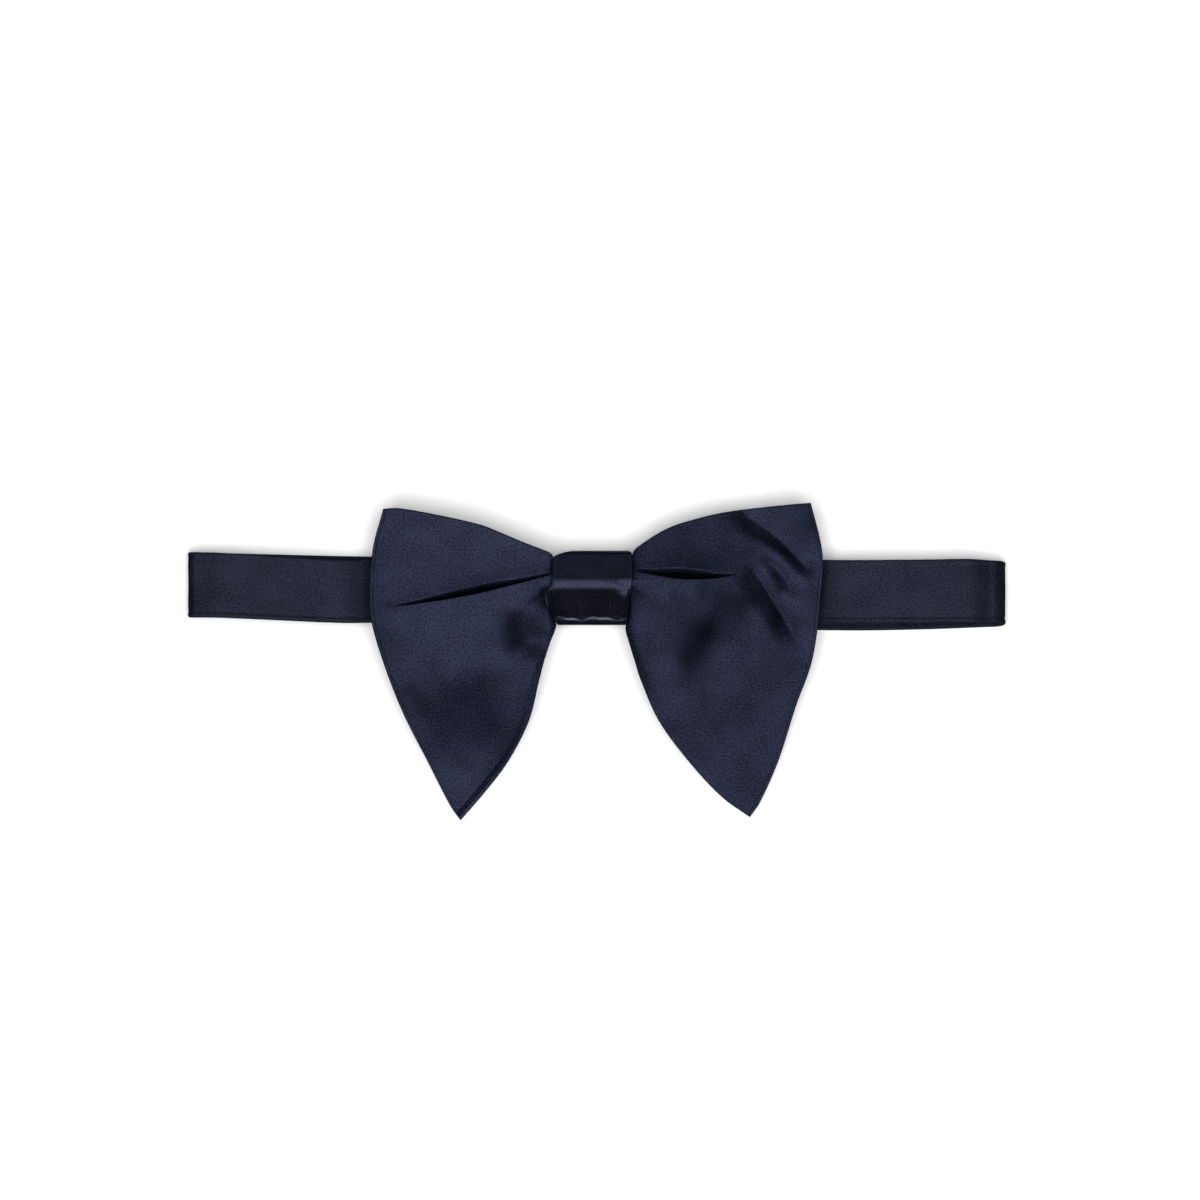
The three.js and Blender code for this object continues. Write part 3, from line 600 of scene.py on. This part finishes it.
def wing_grid(wing):
    """The smooth middle with its rows inside the knot, and each point's shares along and across."""
    along = crowded(WING_STEPS_OUT, ends=[(1, 0.0003, 1.5, 12), (0, 0.002, 1.6, 6)])
    across = crowded(
        WING_STEPS_ACROSS,
        close=[(TUCK_SHARE, 0.035, 40)],
        ends=[(0, 0.0003, 1.5, 12), (1, 0.0003, 1.45, 16)],
    )
    along, across = np.meshgrid(along, across, indexing="ij")
    up, height = root_arch(across[0])
    root = [np.stack([np.full(up.shape, out), up, height], -1) for out in ROOT_OUTS]
    smooth = np.concatenate([root, np.stack(wing_middle(wing, along, across), -1)])
    along = np.vstack([np.zeros((len(ROOT_OUTS), along.shape[1])), along])
    return smooth, along, np.vstack([across[: len(ROOT_OUTS)], across])


def make_wing(wing):
    """Both faces of a wing: the smooth middle, lowered by the folds, plus or minus the half thickness
    along its facing. The front alone has the slot, the seam's line and the back leaf's roll. Where
    the back would sink into the ground, both faces are lifted by as much."""
    smooth, along, across = wing_grid(wing)
    mirrored = smooth * [wing["side"], 1, 1]
    facing = wing_facing(mirrored, wing["side"], along, across)
    rims = smooth[:, :1], smooth[:, -1:], smooth[-1:], smooth[:1]
    top, inner, outer, root = (np.linalg.norm(smooth - rim, axis=2) for rim in rims)
    edge = np.minimum.reduce([top, inner, outer, root])
    full = blend(ROOT_CLOTH, WING_CLOTH, soft_step(0, ROOT_REACH, along)) / 2
    over, under = rim_faces(edge, WING_RIM, full, RIM_REACH)
    out, up = smooth[..., 0], smooth[..., 1]
    outside = soft_step(0, FOLDS_FROM, along)
    lift, slot = tuck_drop(wing["tuck"], out, up)
    drop = outside * (lift + slot / 2 + sum(fold_drop(row, out, up) for row in wing["folds"]))
    front_drop = outside * (slot / 2 + SEAM_DEPTH * bell(outer, SEAM_IN, SEAM_WIDTH))
    if wing is LEFT:
        front_drop += back_roll(inner, along)
    front_drop *= soft_step(0, 0.3, edge)
    lowered = mirrored - np.stack([0 * drop, 0 * drop, drop], -1)
    front = lowered + facing * over[..., None]
    back = lowered + facing * under[..., None]
    sunk = np.maximum(0, -back[..., 2])
    front[..., 2] += sunk - front_drop
    back[..., 2] += sunk
    # Near black painted shade goes where this is 1, at the bottom of the tuck.
    deep = outside * slot / wing["tuck"]["slot"]
    # The strokes of painted shade.
    painted_light_mark = sum(painted_stroke_shade(row, out, up) for row in wing["shades"])
    return cloth_object(wing["name"], front, back, mirrored[..., :2], edge, deep, painted_light_mark)


left_wing_cloth = make_wing(LEFT)
right_wing_cloth = make_wing(RIGHT)

# %% [markdown]
# ## The wrap of the knot
#
# The wrap is one band of satin pulled round the middle and closed behind. Pulled tight over the
# gathered wings, it stands in a flat crest near the middle, breaks in a hard crease just below, and
# falls away in shadow to a lower edge that rolls in small waves. These are low relief on the ring's
# outline, pushed out along its own facing. Below the crease the finish paints shade into the satin's
# colour, and a painted highlight runs along the lip of the lower edge.


# %% The crease and the lip
CREASE_UP, CREASE_FALL = -0.7, 2.4  # where the crease starts, and how far it falls to the right
LIP_UP, LIP_ROLL_UP = -8.8, -9.15  # the lip's worn line and its roll, before their waves
KNOT_RELIEF = dict(crest=0.2, shoulder=0.9, drop=0.35, lip_drop=0.6, roll=0.12, pulls=0.05)


def crease_height(x):
    """Where the crease below the crest runs: level on the left, and dropping to the right by a soft
    step to the power of one and a half."""
    return CREASE_UP - CREASE_FALL * soft_step(3.0, 10.0, x) ** 1.5


def lip_wave(x):
    """How far the rolled lip waves up and down: the sum of sines 10.1 and 4.7 mm long."""
    return 0.22 * np.sin(x * 0.62 + 0.7) + 0.12 * np.sin(x * 1.35 + 2.0)


def knot_relief(x, y, front):
    """The crest above the crease, a fuller shoulder at its right, the drop below it, the waved roll
    along the lower edge and faint pulls across the wrap, in millimetres outwards. Each is its height
    times bells and soft steps. front is 1 on the front and 0 behind."""
    high, crease, wave = KNOT_RELIEF, crease_height(x), lip_wave(x)
    crest = high["crest"] * bell(y, crease + 1.4, 1.7) * (1 + soft_step(2.0, 9.0, x))
    shoulder = high["shoulder"] * soft_step(-0.6, -2.4, y) * soft_step(3.0, 9.0, x)
    shoulder *= soft_step(-0.5, 0.1, y - crease)
    drop = high["drop"] + high["lip_drop"] * soft_step(LIP_UP - 0.1, LIP_UP + 0.1, y - wave)
    drop *= soft_step(0.15, -0.9, y - crease)
    roll = high["roll"] * bell(y, wave + LIP_ROLL_UP, 0.3) * soft_step(-8.0, -5.0, x)
    pulls = high["pulls"] * np.sin(x * 2.1 + 0.35 * y) * bell(y, -5.0, 3.5)
    return front * (crest + shoulder - drop + roll + pulls)


def knot_tone(x, y):
    """Painted shade below the crease, and a painted highlight along the waved lip, which counts below
    zero."""
    painted_shade = 0.4 * soft_step(0.0, -1.2, y - crease_height(x)) * soft_step(-8.7, -8.0, y)
    return painted_shade - bell(y, lip_wave(x) + LIP_UP, 0.055) * soft_step(-8.5, -6.0, x)


# %% Make the knot
KNOT_STEPS_ROUND = 480
KNOT_STEPS_ACROSS = 78
KNOT_RIM = 0.4
KNOT_RIM_REACH = 1.6


def make_knot():
    """A ring of cloth: the outline moved in by half a cloth, from its left reach to its right one,
    plus the relief on its outer face, which fades towards the ring's edges and behind."""
    share = np.arange(KNOT_STEPS_ROUND) / KNOT_STEPS_ROUND
    lines = crowded(KNOT_STEPS_ACROSS, ends=[(0, 0.001, 1.5, 8), (1, 0.001, 1.5, 8)])
    share, line = np.meshgrid(share, lines, indexing="ij")
    left, right = knot_columns(share, "left", "right")
    x = blend(-left, right, line)
    edge = np.minimum(x + left, right - x)
    over, under = rim_faces(edge, KNOT_RIM, KNOT_CLOTH / 2, KNOT_RIM_REACH)
    y, z = knot_outline(share)
    front = soft_step(9.0, 11.5, z)
    relief = knot_relief(x, y, front) * soft_step(0.1, 1.2, edge)
    faces = (
        np.stack([x, *knot_outline(share, KNOT_CLOTH / 2 - offset)], -1)
        for offset in (over + relief, under)
    )
    pattern = np.stack([share * round_steps[BEFORE : 1 - AFTER].sum(), x], -1)
    # The front carries painted shade below the crease and a painted highlight along the lip.
    return cloth_object("knot_wrap", *faces, pattern, edge, painted_light_mark=front * knot_tone(x, y), ring=True)


knot_wrap = make_knot()

# %% [markdown]
# ## The neckband
#
# The neckband is a flat tube of the same satin, sewn, turned and pressed, so both long edges are
# round and slightly raised over the seam allowance inside. It is one strap that runs from its slit
# behind the knot to the right, folds over, passes through the knot, folds again and comes back.

# %% Rows along the strap
BAND_PINCHED = 14.8
FRONT_STRAND = [
    dict(x=-107.4, y=0.8, z=5.6, width=17.7),
    dict(x=-101, y=0.7, z=6.4, width=17.6),
    dict(x=-90, y=0.15, z=7.0, width=17.4),
    dict(x=-68, y=-1.0, z=7.4, width=17.0),
    dict(x=-57, y=-0.9, z=5.0, width=17.0),
    dict(x=-24, y=-0.2, z=5.0, width=16.6),
    dict(x=-13.5, y=0, z=5.65, width=BAND_PINCHED),
    dict(x=13.5, y=0, z=5.65, width=BAND_PINCHED),
    dict(x=24, y=-0.2, z=5.0, width=16.6),
    dict(x=56, y=-0.8, z=5.0, width=17.0),
    dict(x=68, y=-1.0, z=7.4, width=17.0),
    dict(x=90, y=-0.9, z=7.4, width=17.1),
    dict(x=102, y=-0.8, z=7.1, width=17.2),
    dict(x=107.5, y=-1.0, z=5.9, width=16.8),
]
BACK_STRAND = [
    dict(x=-107.4, y=0.8, z=0.7, width=17.6),
    dict(x=-90, y=0.5, z=0.7, width=17.3),
    dict(x=-68, y=0.1, z=0.7, width=17.0),
    dict(x=-34, y=-0.4, z=0.7, width=17.0),
    dict(x=0, y=-1.1, z=0.7, width=17.0),
    dict(x=34, y=-2.15, z=0.7, width=17.0),
    dict(x=68, y=-3.05, z=0.7, width=17.0),
    dict(x=90, y=-2.75, z=0.7, width=17.0),
    dict(x=107.5, y=-2.0, z=0.7, width=17.2),
]
FOLD_REACH = dict(left=1.3, right=3.4)
BACK_SLIT = 0.6

# %% The path of the strap
STRAND_STEP = 1.1
FOLD_STEPS = 22


def strand(rows, start, end):
    """Points along a strand, as columns x, y, z and width, from one x to another."""
    x = np.linspace(start, end, int(abs(end - start) / STRAND_STEP) + 1)
    others = [through(column(rows, "x"), column(rows, name), x) for name in ("y", "z", "width")]
    return np.stack([x, *others], -1)


def turned_over(first, last, reach):
    """A half turn between two strands' ends: a straight blend by (1 - cos turn) / 2, pushed out by
    reach times the sine of the turn."""
    turn = np.linspace(0, np.pi, FOLD_STEPS + 1)[1:-1]
    points = blend(first, last, ((1 - np.cos(turn)) / 2)[:, None])
    points[:, 0] += reach * np.sin(turn)
    return points


# %% Relief along the strap's edges
BAND_RELIEF = dict(roll=0.13, hollow=0.1, slow=0.05)
UPPER_SHARE = 0.55  # how much of the roll and hollow the upper edge shows


def band_relief(edge, run, below):
    """The raised roll over the seam allowance less the faint hollow beside it, both bells, fuller on
    the lower edge, where below is 1, plus slow unevenness along the strap."""
    roll = BAND_RELIEF["roll"] * bell(edge, 0.75, 0.4)
    hollow = BAND_RELIEF["hollow"] * bell(edge, 1.7, 0.6)
    slow = BAND_RELIEF["slow"] * np.sin(run * 0.21 + 1.0) * np.sin(edge * 0.5)
    return blend(UPPER_SHARE, 1, below) * (roll - hollow) + slow


# %% Make the neckband
BAND_LINES = 44
BAND_RIM = 0.42
BAND_REACH = 2.4


def make_neckband():
    """The strap: its path's points, with each section square to the path in the XZ plane, half its
    width to both sides along Y, and the half thickness of a round rim to both faces."""
    slit = BACK_SLIT / 2
    left_end, right_end = FRONT_STRAND[0]["x"], FRONT_STRAND[-1]["x"]
    to_right = strand(BACK_STRAND, slit, right_end)
    front = strand(FRONT_STRAND, right_end, left_end)
    from_left = strand(BACK_STRAND, left_end, -slit)
    right_fold = turned_over(to_right[-1], front[0], FOLD_REACH["right"])
    left_fold = turned_over(front[-1], from_left[0], -FOLD_REACH["left"])
    path = np.concatenate([to_right, right_fold, front, left_fold, from_left])
    way = np.gradient(path[:, [0, 2]], axis=0)
    way /= np.linalg.norm(way, axis=1, keepdims=True)
    away = np.stack([way[:, 1], 0 * way[:, 0], -way[:, 0]], -1)[:, None]  # out of the loop
    run = np.concatenate([[0], np.cumsum(np.linalg.norm(np.diff(path[:, :3], axis=0), axis=1))])
    lines = crowded(BAND_LINES, ends=[(0, 0.002, 1.6, 7), (1, 0.002, 1.6, 7)])
    across = path[:, 3:] * (lines[None] - 0.5)
    edge = np.minimum(path[:, 3:] / 2 - abs(across), np.minimum(run, run[-1] - run)[:, None])
    over, under = rim_faces(edge, BAND_RIM, BAND_CLOTH / 2, BAND_REACH)
    relief = band_relief(edge, run[:, None], across < 0) * soft_step(0, 0.5, edge)
    middle_points = np.repeat(path[:, None, :3], len(lines), axis=1)
    middle_points[..., 1] += across
    outer = middle_points + away * (over + relief)[..., None]
    inner = middle_points + away * under[..., None]
    for face in (outer, inner):
        face[..., 2] = np.maximum(face[..., 2], 0.0)
    pattern = np.stack([np.repeat(run[:, None], len(lines), 1), across], -1)
    return cloth_object("neckband_strap", outer, inner, pattern, edge), run[-1]


neckband_strap, band_length = make_neckband()
print(f"neckband: {band_length:.0f} mm long")

# %% [markdown]
# ## Writing finishes as sums
#
# A finish is easier to read as a sum than as a tangle of boxes. Wire wraps one socket of a material,
# and adding, multiplying or taking from it puts the Math node in. Finish.add makes any other node
# from its type, its settings and its inputs.


# %% Wires and finishes
class Wire:
    """A value on its way through a material. Sums on it add Math nodes."""

    def __init__(self, finish, socket):
        self.finish, self.socket = finish, socket

    def sum_with(self, operation, first, second):
        return self.finish.add("Math", {"operation": operation}, {0: first, 1: second})

    def __add__(self, other):
        return self.sum_with("ADD", self, other)

    def __sub__(self, other):
        return self.sum_with("SUBTRACT", self, other)

    def __rsub__(self, other):
        return self.sum_with("SUBTRACT", other, self)

    def __mul__(self, other):
        return self.sum_with("MULTIPLY", self, other)

    __radd__, __rmul__ = __add__, __mul__


class Finish:
    """A material whose nodes are added one by one, each from its type, settings and inputs."""

    def __init__(self, name):
        self.material = bpy.data.materials.new(name)
        self.material.use_nodes = True
        self.nodes, self.links = self.material.node_tree.nodes, self.material.node_tree.links
        self.shader = self.nodes["Principled BSDF"]

    def join(self, value, socket):
        if isinstance(value, Wire):
            self.links.new(value.socket, socket)
        else:
            socket.default_value = value

    def add(self, kind, settings=(), inputs=(), output=0):
        node = self.nodes.new("ShaderNode" + kind)
        for key, value in dict(settings).items():
            setattr(node, key, value)
        for key, value in dict(inputs).items():
            self.join(value, node.inputs[key])
        return Wire(self, node.outputs[output])

    def soft_step(self, value, low, high):
        """0 below low and 1 above high, as soft_step does with numbers."""
        settings = {"interpolation_type": "SMOOTHSTEP"}
        return self.add("MapRange", settings, {"Value": value, "From Min": low, "From Max": high})

    def noise(self, place, size, detail=2.0):
        """Soft blotches of a size given in millimetres of cloth, long and wide."""
        grown = self.add(
            "VectorMath",
            {"operation": "MULTIPLY"},
            {0: place, 1: (WEAVE_TILE / size[0], WEAVE_TILE / size[1], 1.0)},
        )
        return self.add("TexNoise", {}, {"Vector": grown, "Scale": 1.0, "Detail": detail})

    def mark(self, name):
        """A number that the mesh keeps at each of its points."""
        return self.add("Attribute", {"attribute_name": name}, output=2)

    def bump(self, height, strength, depth):
        """Relief for the shader's Normal, with its depth in metres."""
        return self.add("Bump", {}, {"Strength": strength, "Distance": depth, "Height": height})

    def mix(self, share, first, second):
        """A colour between two others."""
        inputs = {"Factor": share, 6: first, 7: second}
        return self.add("Mix", {"data_type": "RGBA"}, inputs, output=2)

    def set(self, **inputs):
        """Joins values or wires to the shader's sockets, and gives the material."""
        for name, value in inputs.items():
            label = name.replace("_", " ").title().replace("Ior", "IOR")
            self.join(value, self.shader.inputs[label])
        return self.material


# %% [markdown]
# ## Satin
#
# Satin floats its warp over many weft threads, so its face is smooth along one direction. Light that
# falls from above comes back blue and broad where the cloth faces up, and every slope goes dark. The
# finish has a dark dyed base with a speckle and a mottling, fine floats as relief and a paler rim
# where a turned edge is rubbed. It also paints shade: near black deep in the tucks, and strokes of
# painted shade towards a darker colour, the strongest towards purple. Below zero the same mark is a
# painted highlight, on the knot's lip.


# %% Mix the satin
FLOAT_MM, SPECKLE_MM, MOTTLE_MM = (1.3, 0.22), (0.55, 0.5), (9.0, 8.0)
WEAVE_DEPTH = 0.00012
# Colours of painted light: near black painted shade in the tucks, the darkest painted shade of the
# strokes, and a painted highlight on the knot's lip.
TUCK_PAINTED_SHADE = (0.0004, 0.0004, 0.0006, 1)
DARKEST_PAINTED_SHADE = (0.0028, 0.0017, 0.0027, 1)
LIP_PAINTED_HIGHLIGHT = (0.085, 0.083, 0.085, 1)


def satin(name, dark, light, painted_shade, metallic, roughness, grain):
    """A navy satin. dark and light are the colours of its speckle, the next colour that of its
    painted shade, metallic how much of its light is gloss, and grain the depth of its weave."""
    finish = Finish(name)
    place = finish.add("UVMap", {"uv_map": "weave"})
    edge, deep, painted_light_mark = (finish.mark(name) for name in ("edge", "deep", "painted_light_mark"))
    floats = finish.noise(place, FLOAT_MM, 1.0)
    speckle = finish.noise(place, SPECKLE_MM, 1.0)
    mottle = finish.noise(place, MOTTLE_MM, 3.0)
    colour = finish.mix(finish.soft_step(speckle * 0.7 + mottle * 0.3, 0.3, 0.7), dark, light)
    rubbed = 1.0 - finish.soft_step(edge, 0.1, 0.9)
    colour = finish.mix(rubbed * 0.25, colour, tuple(2.0 * part for part in light[:3]) + (1.0,))
    # Painted shade, near black, at the bottom of the tucks.
    colour = finish.mix(finish.soft_step(deep, 0.1, 0.5) * 0.85, colour, TUCK_PAINTED_SHADE)
    # Strokes of painted shade, the strongest towards purple.
    colour = finish.mix(painted_light_mark, colour, painted_shade)
    colour = finish.mix(finish.soft_step(painted_light_mark, 0.4, 0.9) * 0.7, colour, DARKEST_PAINTED_SHADE)
    # Below zero the mark is a painted highlight, on the knot's lip.
    colour = finish.mix(painted_light_mark * -1.0, colour, LIP_PAINTED_HIGHLIGHT)
    return finish.set(
        base_color=colour,
        metallic=metallic,
        roughness=roughness + (speckle - 0.5) * 0.14 + (mottle - 0.5) * 0.1,
        normal=finish.bump(floats * 0.5 + speckle * 0.5, grain, WEAVE_DEPTH),
        specular_ior_level=0.0,
        specular_tint=(0.2, 0.2, 0.2, 1),
    )


wing_satin = satin(
    "wing_satin",
    dark=(0.0044, 0.0054, 0.0108, 1),
    light=(0.0166, 0.0192, 0.0372, 1),
    painted_shade=(0.0014, 0.0028, 0.0042, 1),
    metallic=0.55,
    roughness=0.42,
    grain=0.7,
)
knot_satin = satin(
    "knot_satin",
    dark=(0.0064, 0.0074, 0.0132, 1),
    light=(0.0200, 0.0228, 0.0400, 1),
    painted_shade=(0.0036, 0.0014, 0.0022, 1),
    metallic=0.7,
    roughness=0.36,
    grain=0.7,
)
band_satin = satin(
    "band_satin",
    dark=(0.0044, 0.0052, 0.0090, 1),
    light=(0.0150, 0.0173, 0.0283, 1),
    painted_shade=(0.0014, 0.0020, 0.0028, 1),
    metallic=0.5,
    roughness=0.46,
    grain=0.6,
)

# %% [markdown]
# ## The clasp
#
# Behind the knot a small plate hooks the strap's two ends together. It is painted metal. The plate
# keeps its own solid, and gets a satin-black paint that has worn to bare metal in fine scratches.

# %% Paint the clasp
BLACK_PAINT, BARE_METAL = (0.02, 0.021, 0.024, 1), (0.32, 0.32, 0.33, 1)
SCRATCH_DEPTH = 0.00005

clasp_finish = Finish("clasp_metal")
clasp_place = clasp_finish.add("TexCoord", output=3)  # Object coordinates
clasp_grain = clasp_finish.add("TexNoise", {}, {"Vector": clasp_place, "Scale": 900.0, "Detail": 3.0})
clasp_worn = clasp_finish.soft_step(clasp_grain, 0.58, 0.7)
clasp_finish.set(
    base_color=clasp_finish.mix(clasp_worn, BLACK_PAINT, BARE_METAL),
    metallic=0.3 + clasp_worn * 0.7,
    roughness=0.42 - clasp_worn * 0.12,
    normal=clasp_finish.bump(clasp_grain, 0.3, SCRATCH_DEPTH),
)
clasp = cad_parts["clasp"]
clasp.data.materials.clear()
clasp.data.materials.append(clasp_finish.material)
print("clasp:", len(clasp.data.polygons), "triangles of its own solid, painted")

# %% [markdown]
# ## What each piece stands for
#
# Every cloth piece replaces its plain solid, rides on the part's one body and gets its finish, which
# is named like its slot. The table also lists the size in metres that each was cut to, a wing's
# area, because it is no rectangle, how each is held and what it rests on, but nothing here reads
# these.

# %% Ride and replace
PIECES = [
    dict(piece=left_wing_cloth, node="left_wing", slot="wing_satin", finish=wing_satin,
         flat=(0.062, 0.088), area=0.0034, held="gathered", rests_on=["neckband_strap"]),
    dict(piece=right_wing_cloth, node="right_wing", slot="wing_satin", finish=wing_satin,
         flat=(0.064, 0.088), area=0.0037, held="gathered", rests_on=["neckband_strap"]),
    dict(piece=knot_wrap, node="knot", slot="knot_satin", finish=knot_satin,
         flat=(0.022, 0.053), area=None, held="folded",
         rests_on=["left_wing_cloth", "right_wing_cloth"]),
    dict(piece=neckband_strap, node="neckband", slot="band_satin", finish=band_satin,
         flat=(0.0172, 0.441), area=None, held="folded", rests_on=[]),
]
for row in PIECES:
    row["piece"].data.materials.append(row["finish"])
    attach(row["piece"], "root")
    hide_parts(row["node"])
print("pieces:", ", ".join(row["piece"].name for row in PIECES))

# %% [markdown]
# ## Floor and light
#
# The picture was taken from straight above on a white ground. One wide soft light hangs over the bow
# tie, a little towards the lower side of the picture. Cloth that lies level or tilts a little to
# that side shines, and anything steeper goes dark, which is how satin shows its folds. A weak low
# light past the upper side draws the upper rims, and the world fills the rest a little.

# %% Lay the floor
FLOOR_DROP = 0.0001  # metres below the part, so that the two never share a plane
FLOOR_HALF = 4.0
floor_mesh = bpy.data.meshes.new("floor")
corners = np.array([(-1, -1), (1, -1), (1, 1), (-1, 1)]) * FLOOR_HALF
floor_mesh.from_pydata([(x, y, -FLOOR_DROP) for x, y in corners.tolist()], [], [(0, 1, 2, 3)])
floor = bpy.data.objects.new("floor", floor_mesh)
bpy.context.scene.collection.objects.link(floor)
floor_mesh.materials.append(Finish("floor_white").set(base_color=(0.9, 0.9, 0.9, 1), roughness=0.9))
floor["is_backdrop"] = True


# %% Hang the lights
WORLD_LIGHT = 0.18


def soft_light(name, place, size, watts):
    """A square soft light at a place in metres, turned towards the part's middle."""
    lamp = bpy.data.lights.new(name, "AREA")
    lamp.shape, lamp.size, lamp.energy = "SQUARE", size, watts
    light = bpy.data.objects.new(name, lamp)
    bpy.context.scene.collection.objects.link(light)
    light.location = place
    light.rotation_mode = "QUATERNION"
    light.rotation_quaternion = (-Vector(place)).to_track_quat("-Z", "Y")
    light.visible_camera = False
    print(f"light {name}: {watts} W at {place}")


soft_light("overhead", place=(0.0, -0.2, 1.6), size=1.3, watts=38.0)
soft_light("behind", place=(0.0, 1.6, 0.5), size=0.8, watts=1.2)
world = bpy.data.worlds.new("studio")
world.use_nodes = True
sky = world.node_tree.nodes["Background"].inputs
sky["Color"].default_value = (1, 1, 1, 1)
sky["Strength"].default_value = WORLD_LIGHT
bpy.context.scene.world = world
bpy.context.scene.view_settings.view_transform = "Standard"

# %% [markdown]
# ## The camera
#
# In the picture 1200 pixels span 324 millimetres of the surface, and the middle of the knot is at
# pixel (593, 588). A long lens at 2.25 metres keeps the wings' height from spreading them.

# %% Set the camera
PICTURE_PIXELS = 1200
PIXEL_MM = 0.27
KNOT_PIXEL = (592.7, 587.8)
LENS_MM, SENSOR_MM = 250.0, 36.0
CLOTH_HEIGHT = 0.007  # metres up, where a pixel is as wide as measured

camera = bpy.data.objects.new("camera", bpy.data.cameras.new("camera"))
bpy.context.scene.collection.objects.link(camera)
camera.data.lens, camera.data.sensor_width = LENS_MM, SENSOR_MM
across_frame = PICTURE_PIXELS * PIXEL_MM * MM
distance = across_frame * LENS_MM / SENSOR_MM
camera.location = (
    middle[0] + (PICTURE_PIXELS / 2 - KNOT_PIXEL[0]) * PIXEL_MM * MM,
    middle[1] - (PICTURE_PIXELS / 2 - KNOT_PIXEL[1]) * PIXEL_MM * MM,
    CLOTH_HEIGHT + distance,
)
bpy.context.scene.camera = camera
print(f"camera {distance:.2f} m up, frame {across_frame * 1000:.0f} mm wide")

# %% [markdown]
# ## Sizes
#
# The visual model has to stay in the solids' box. The last lines print how far it reaches past
# that box, in millimetres.

# %% How far past the solids
shown_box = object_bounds()
beyond = [round((shown - solid) / MM, 2) for solid, shown in zip(solid_box[1], shown_box[1])]
print("millimetres past the solids:", beyond)
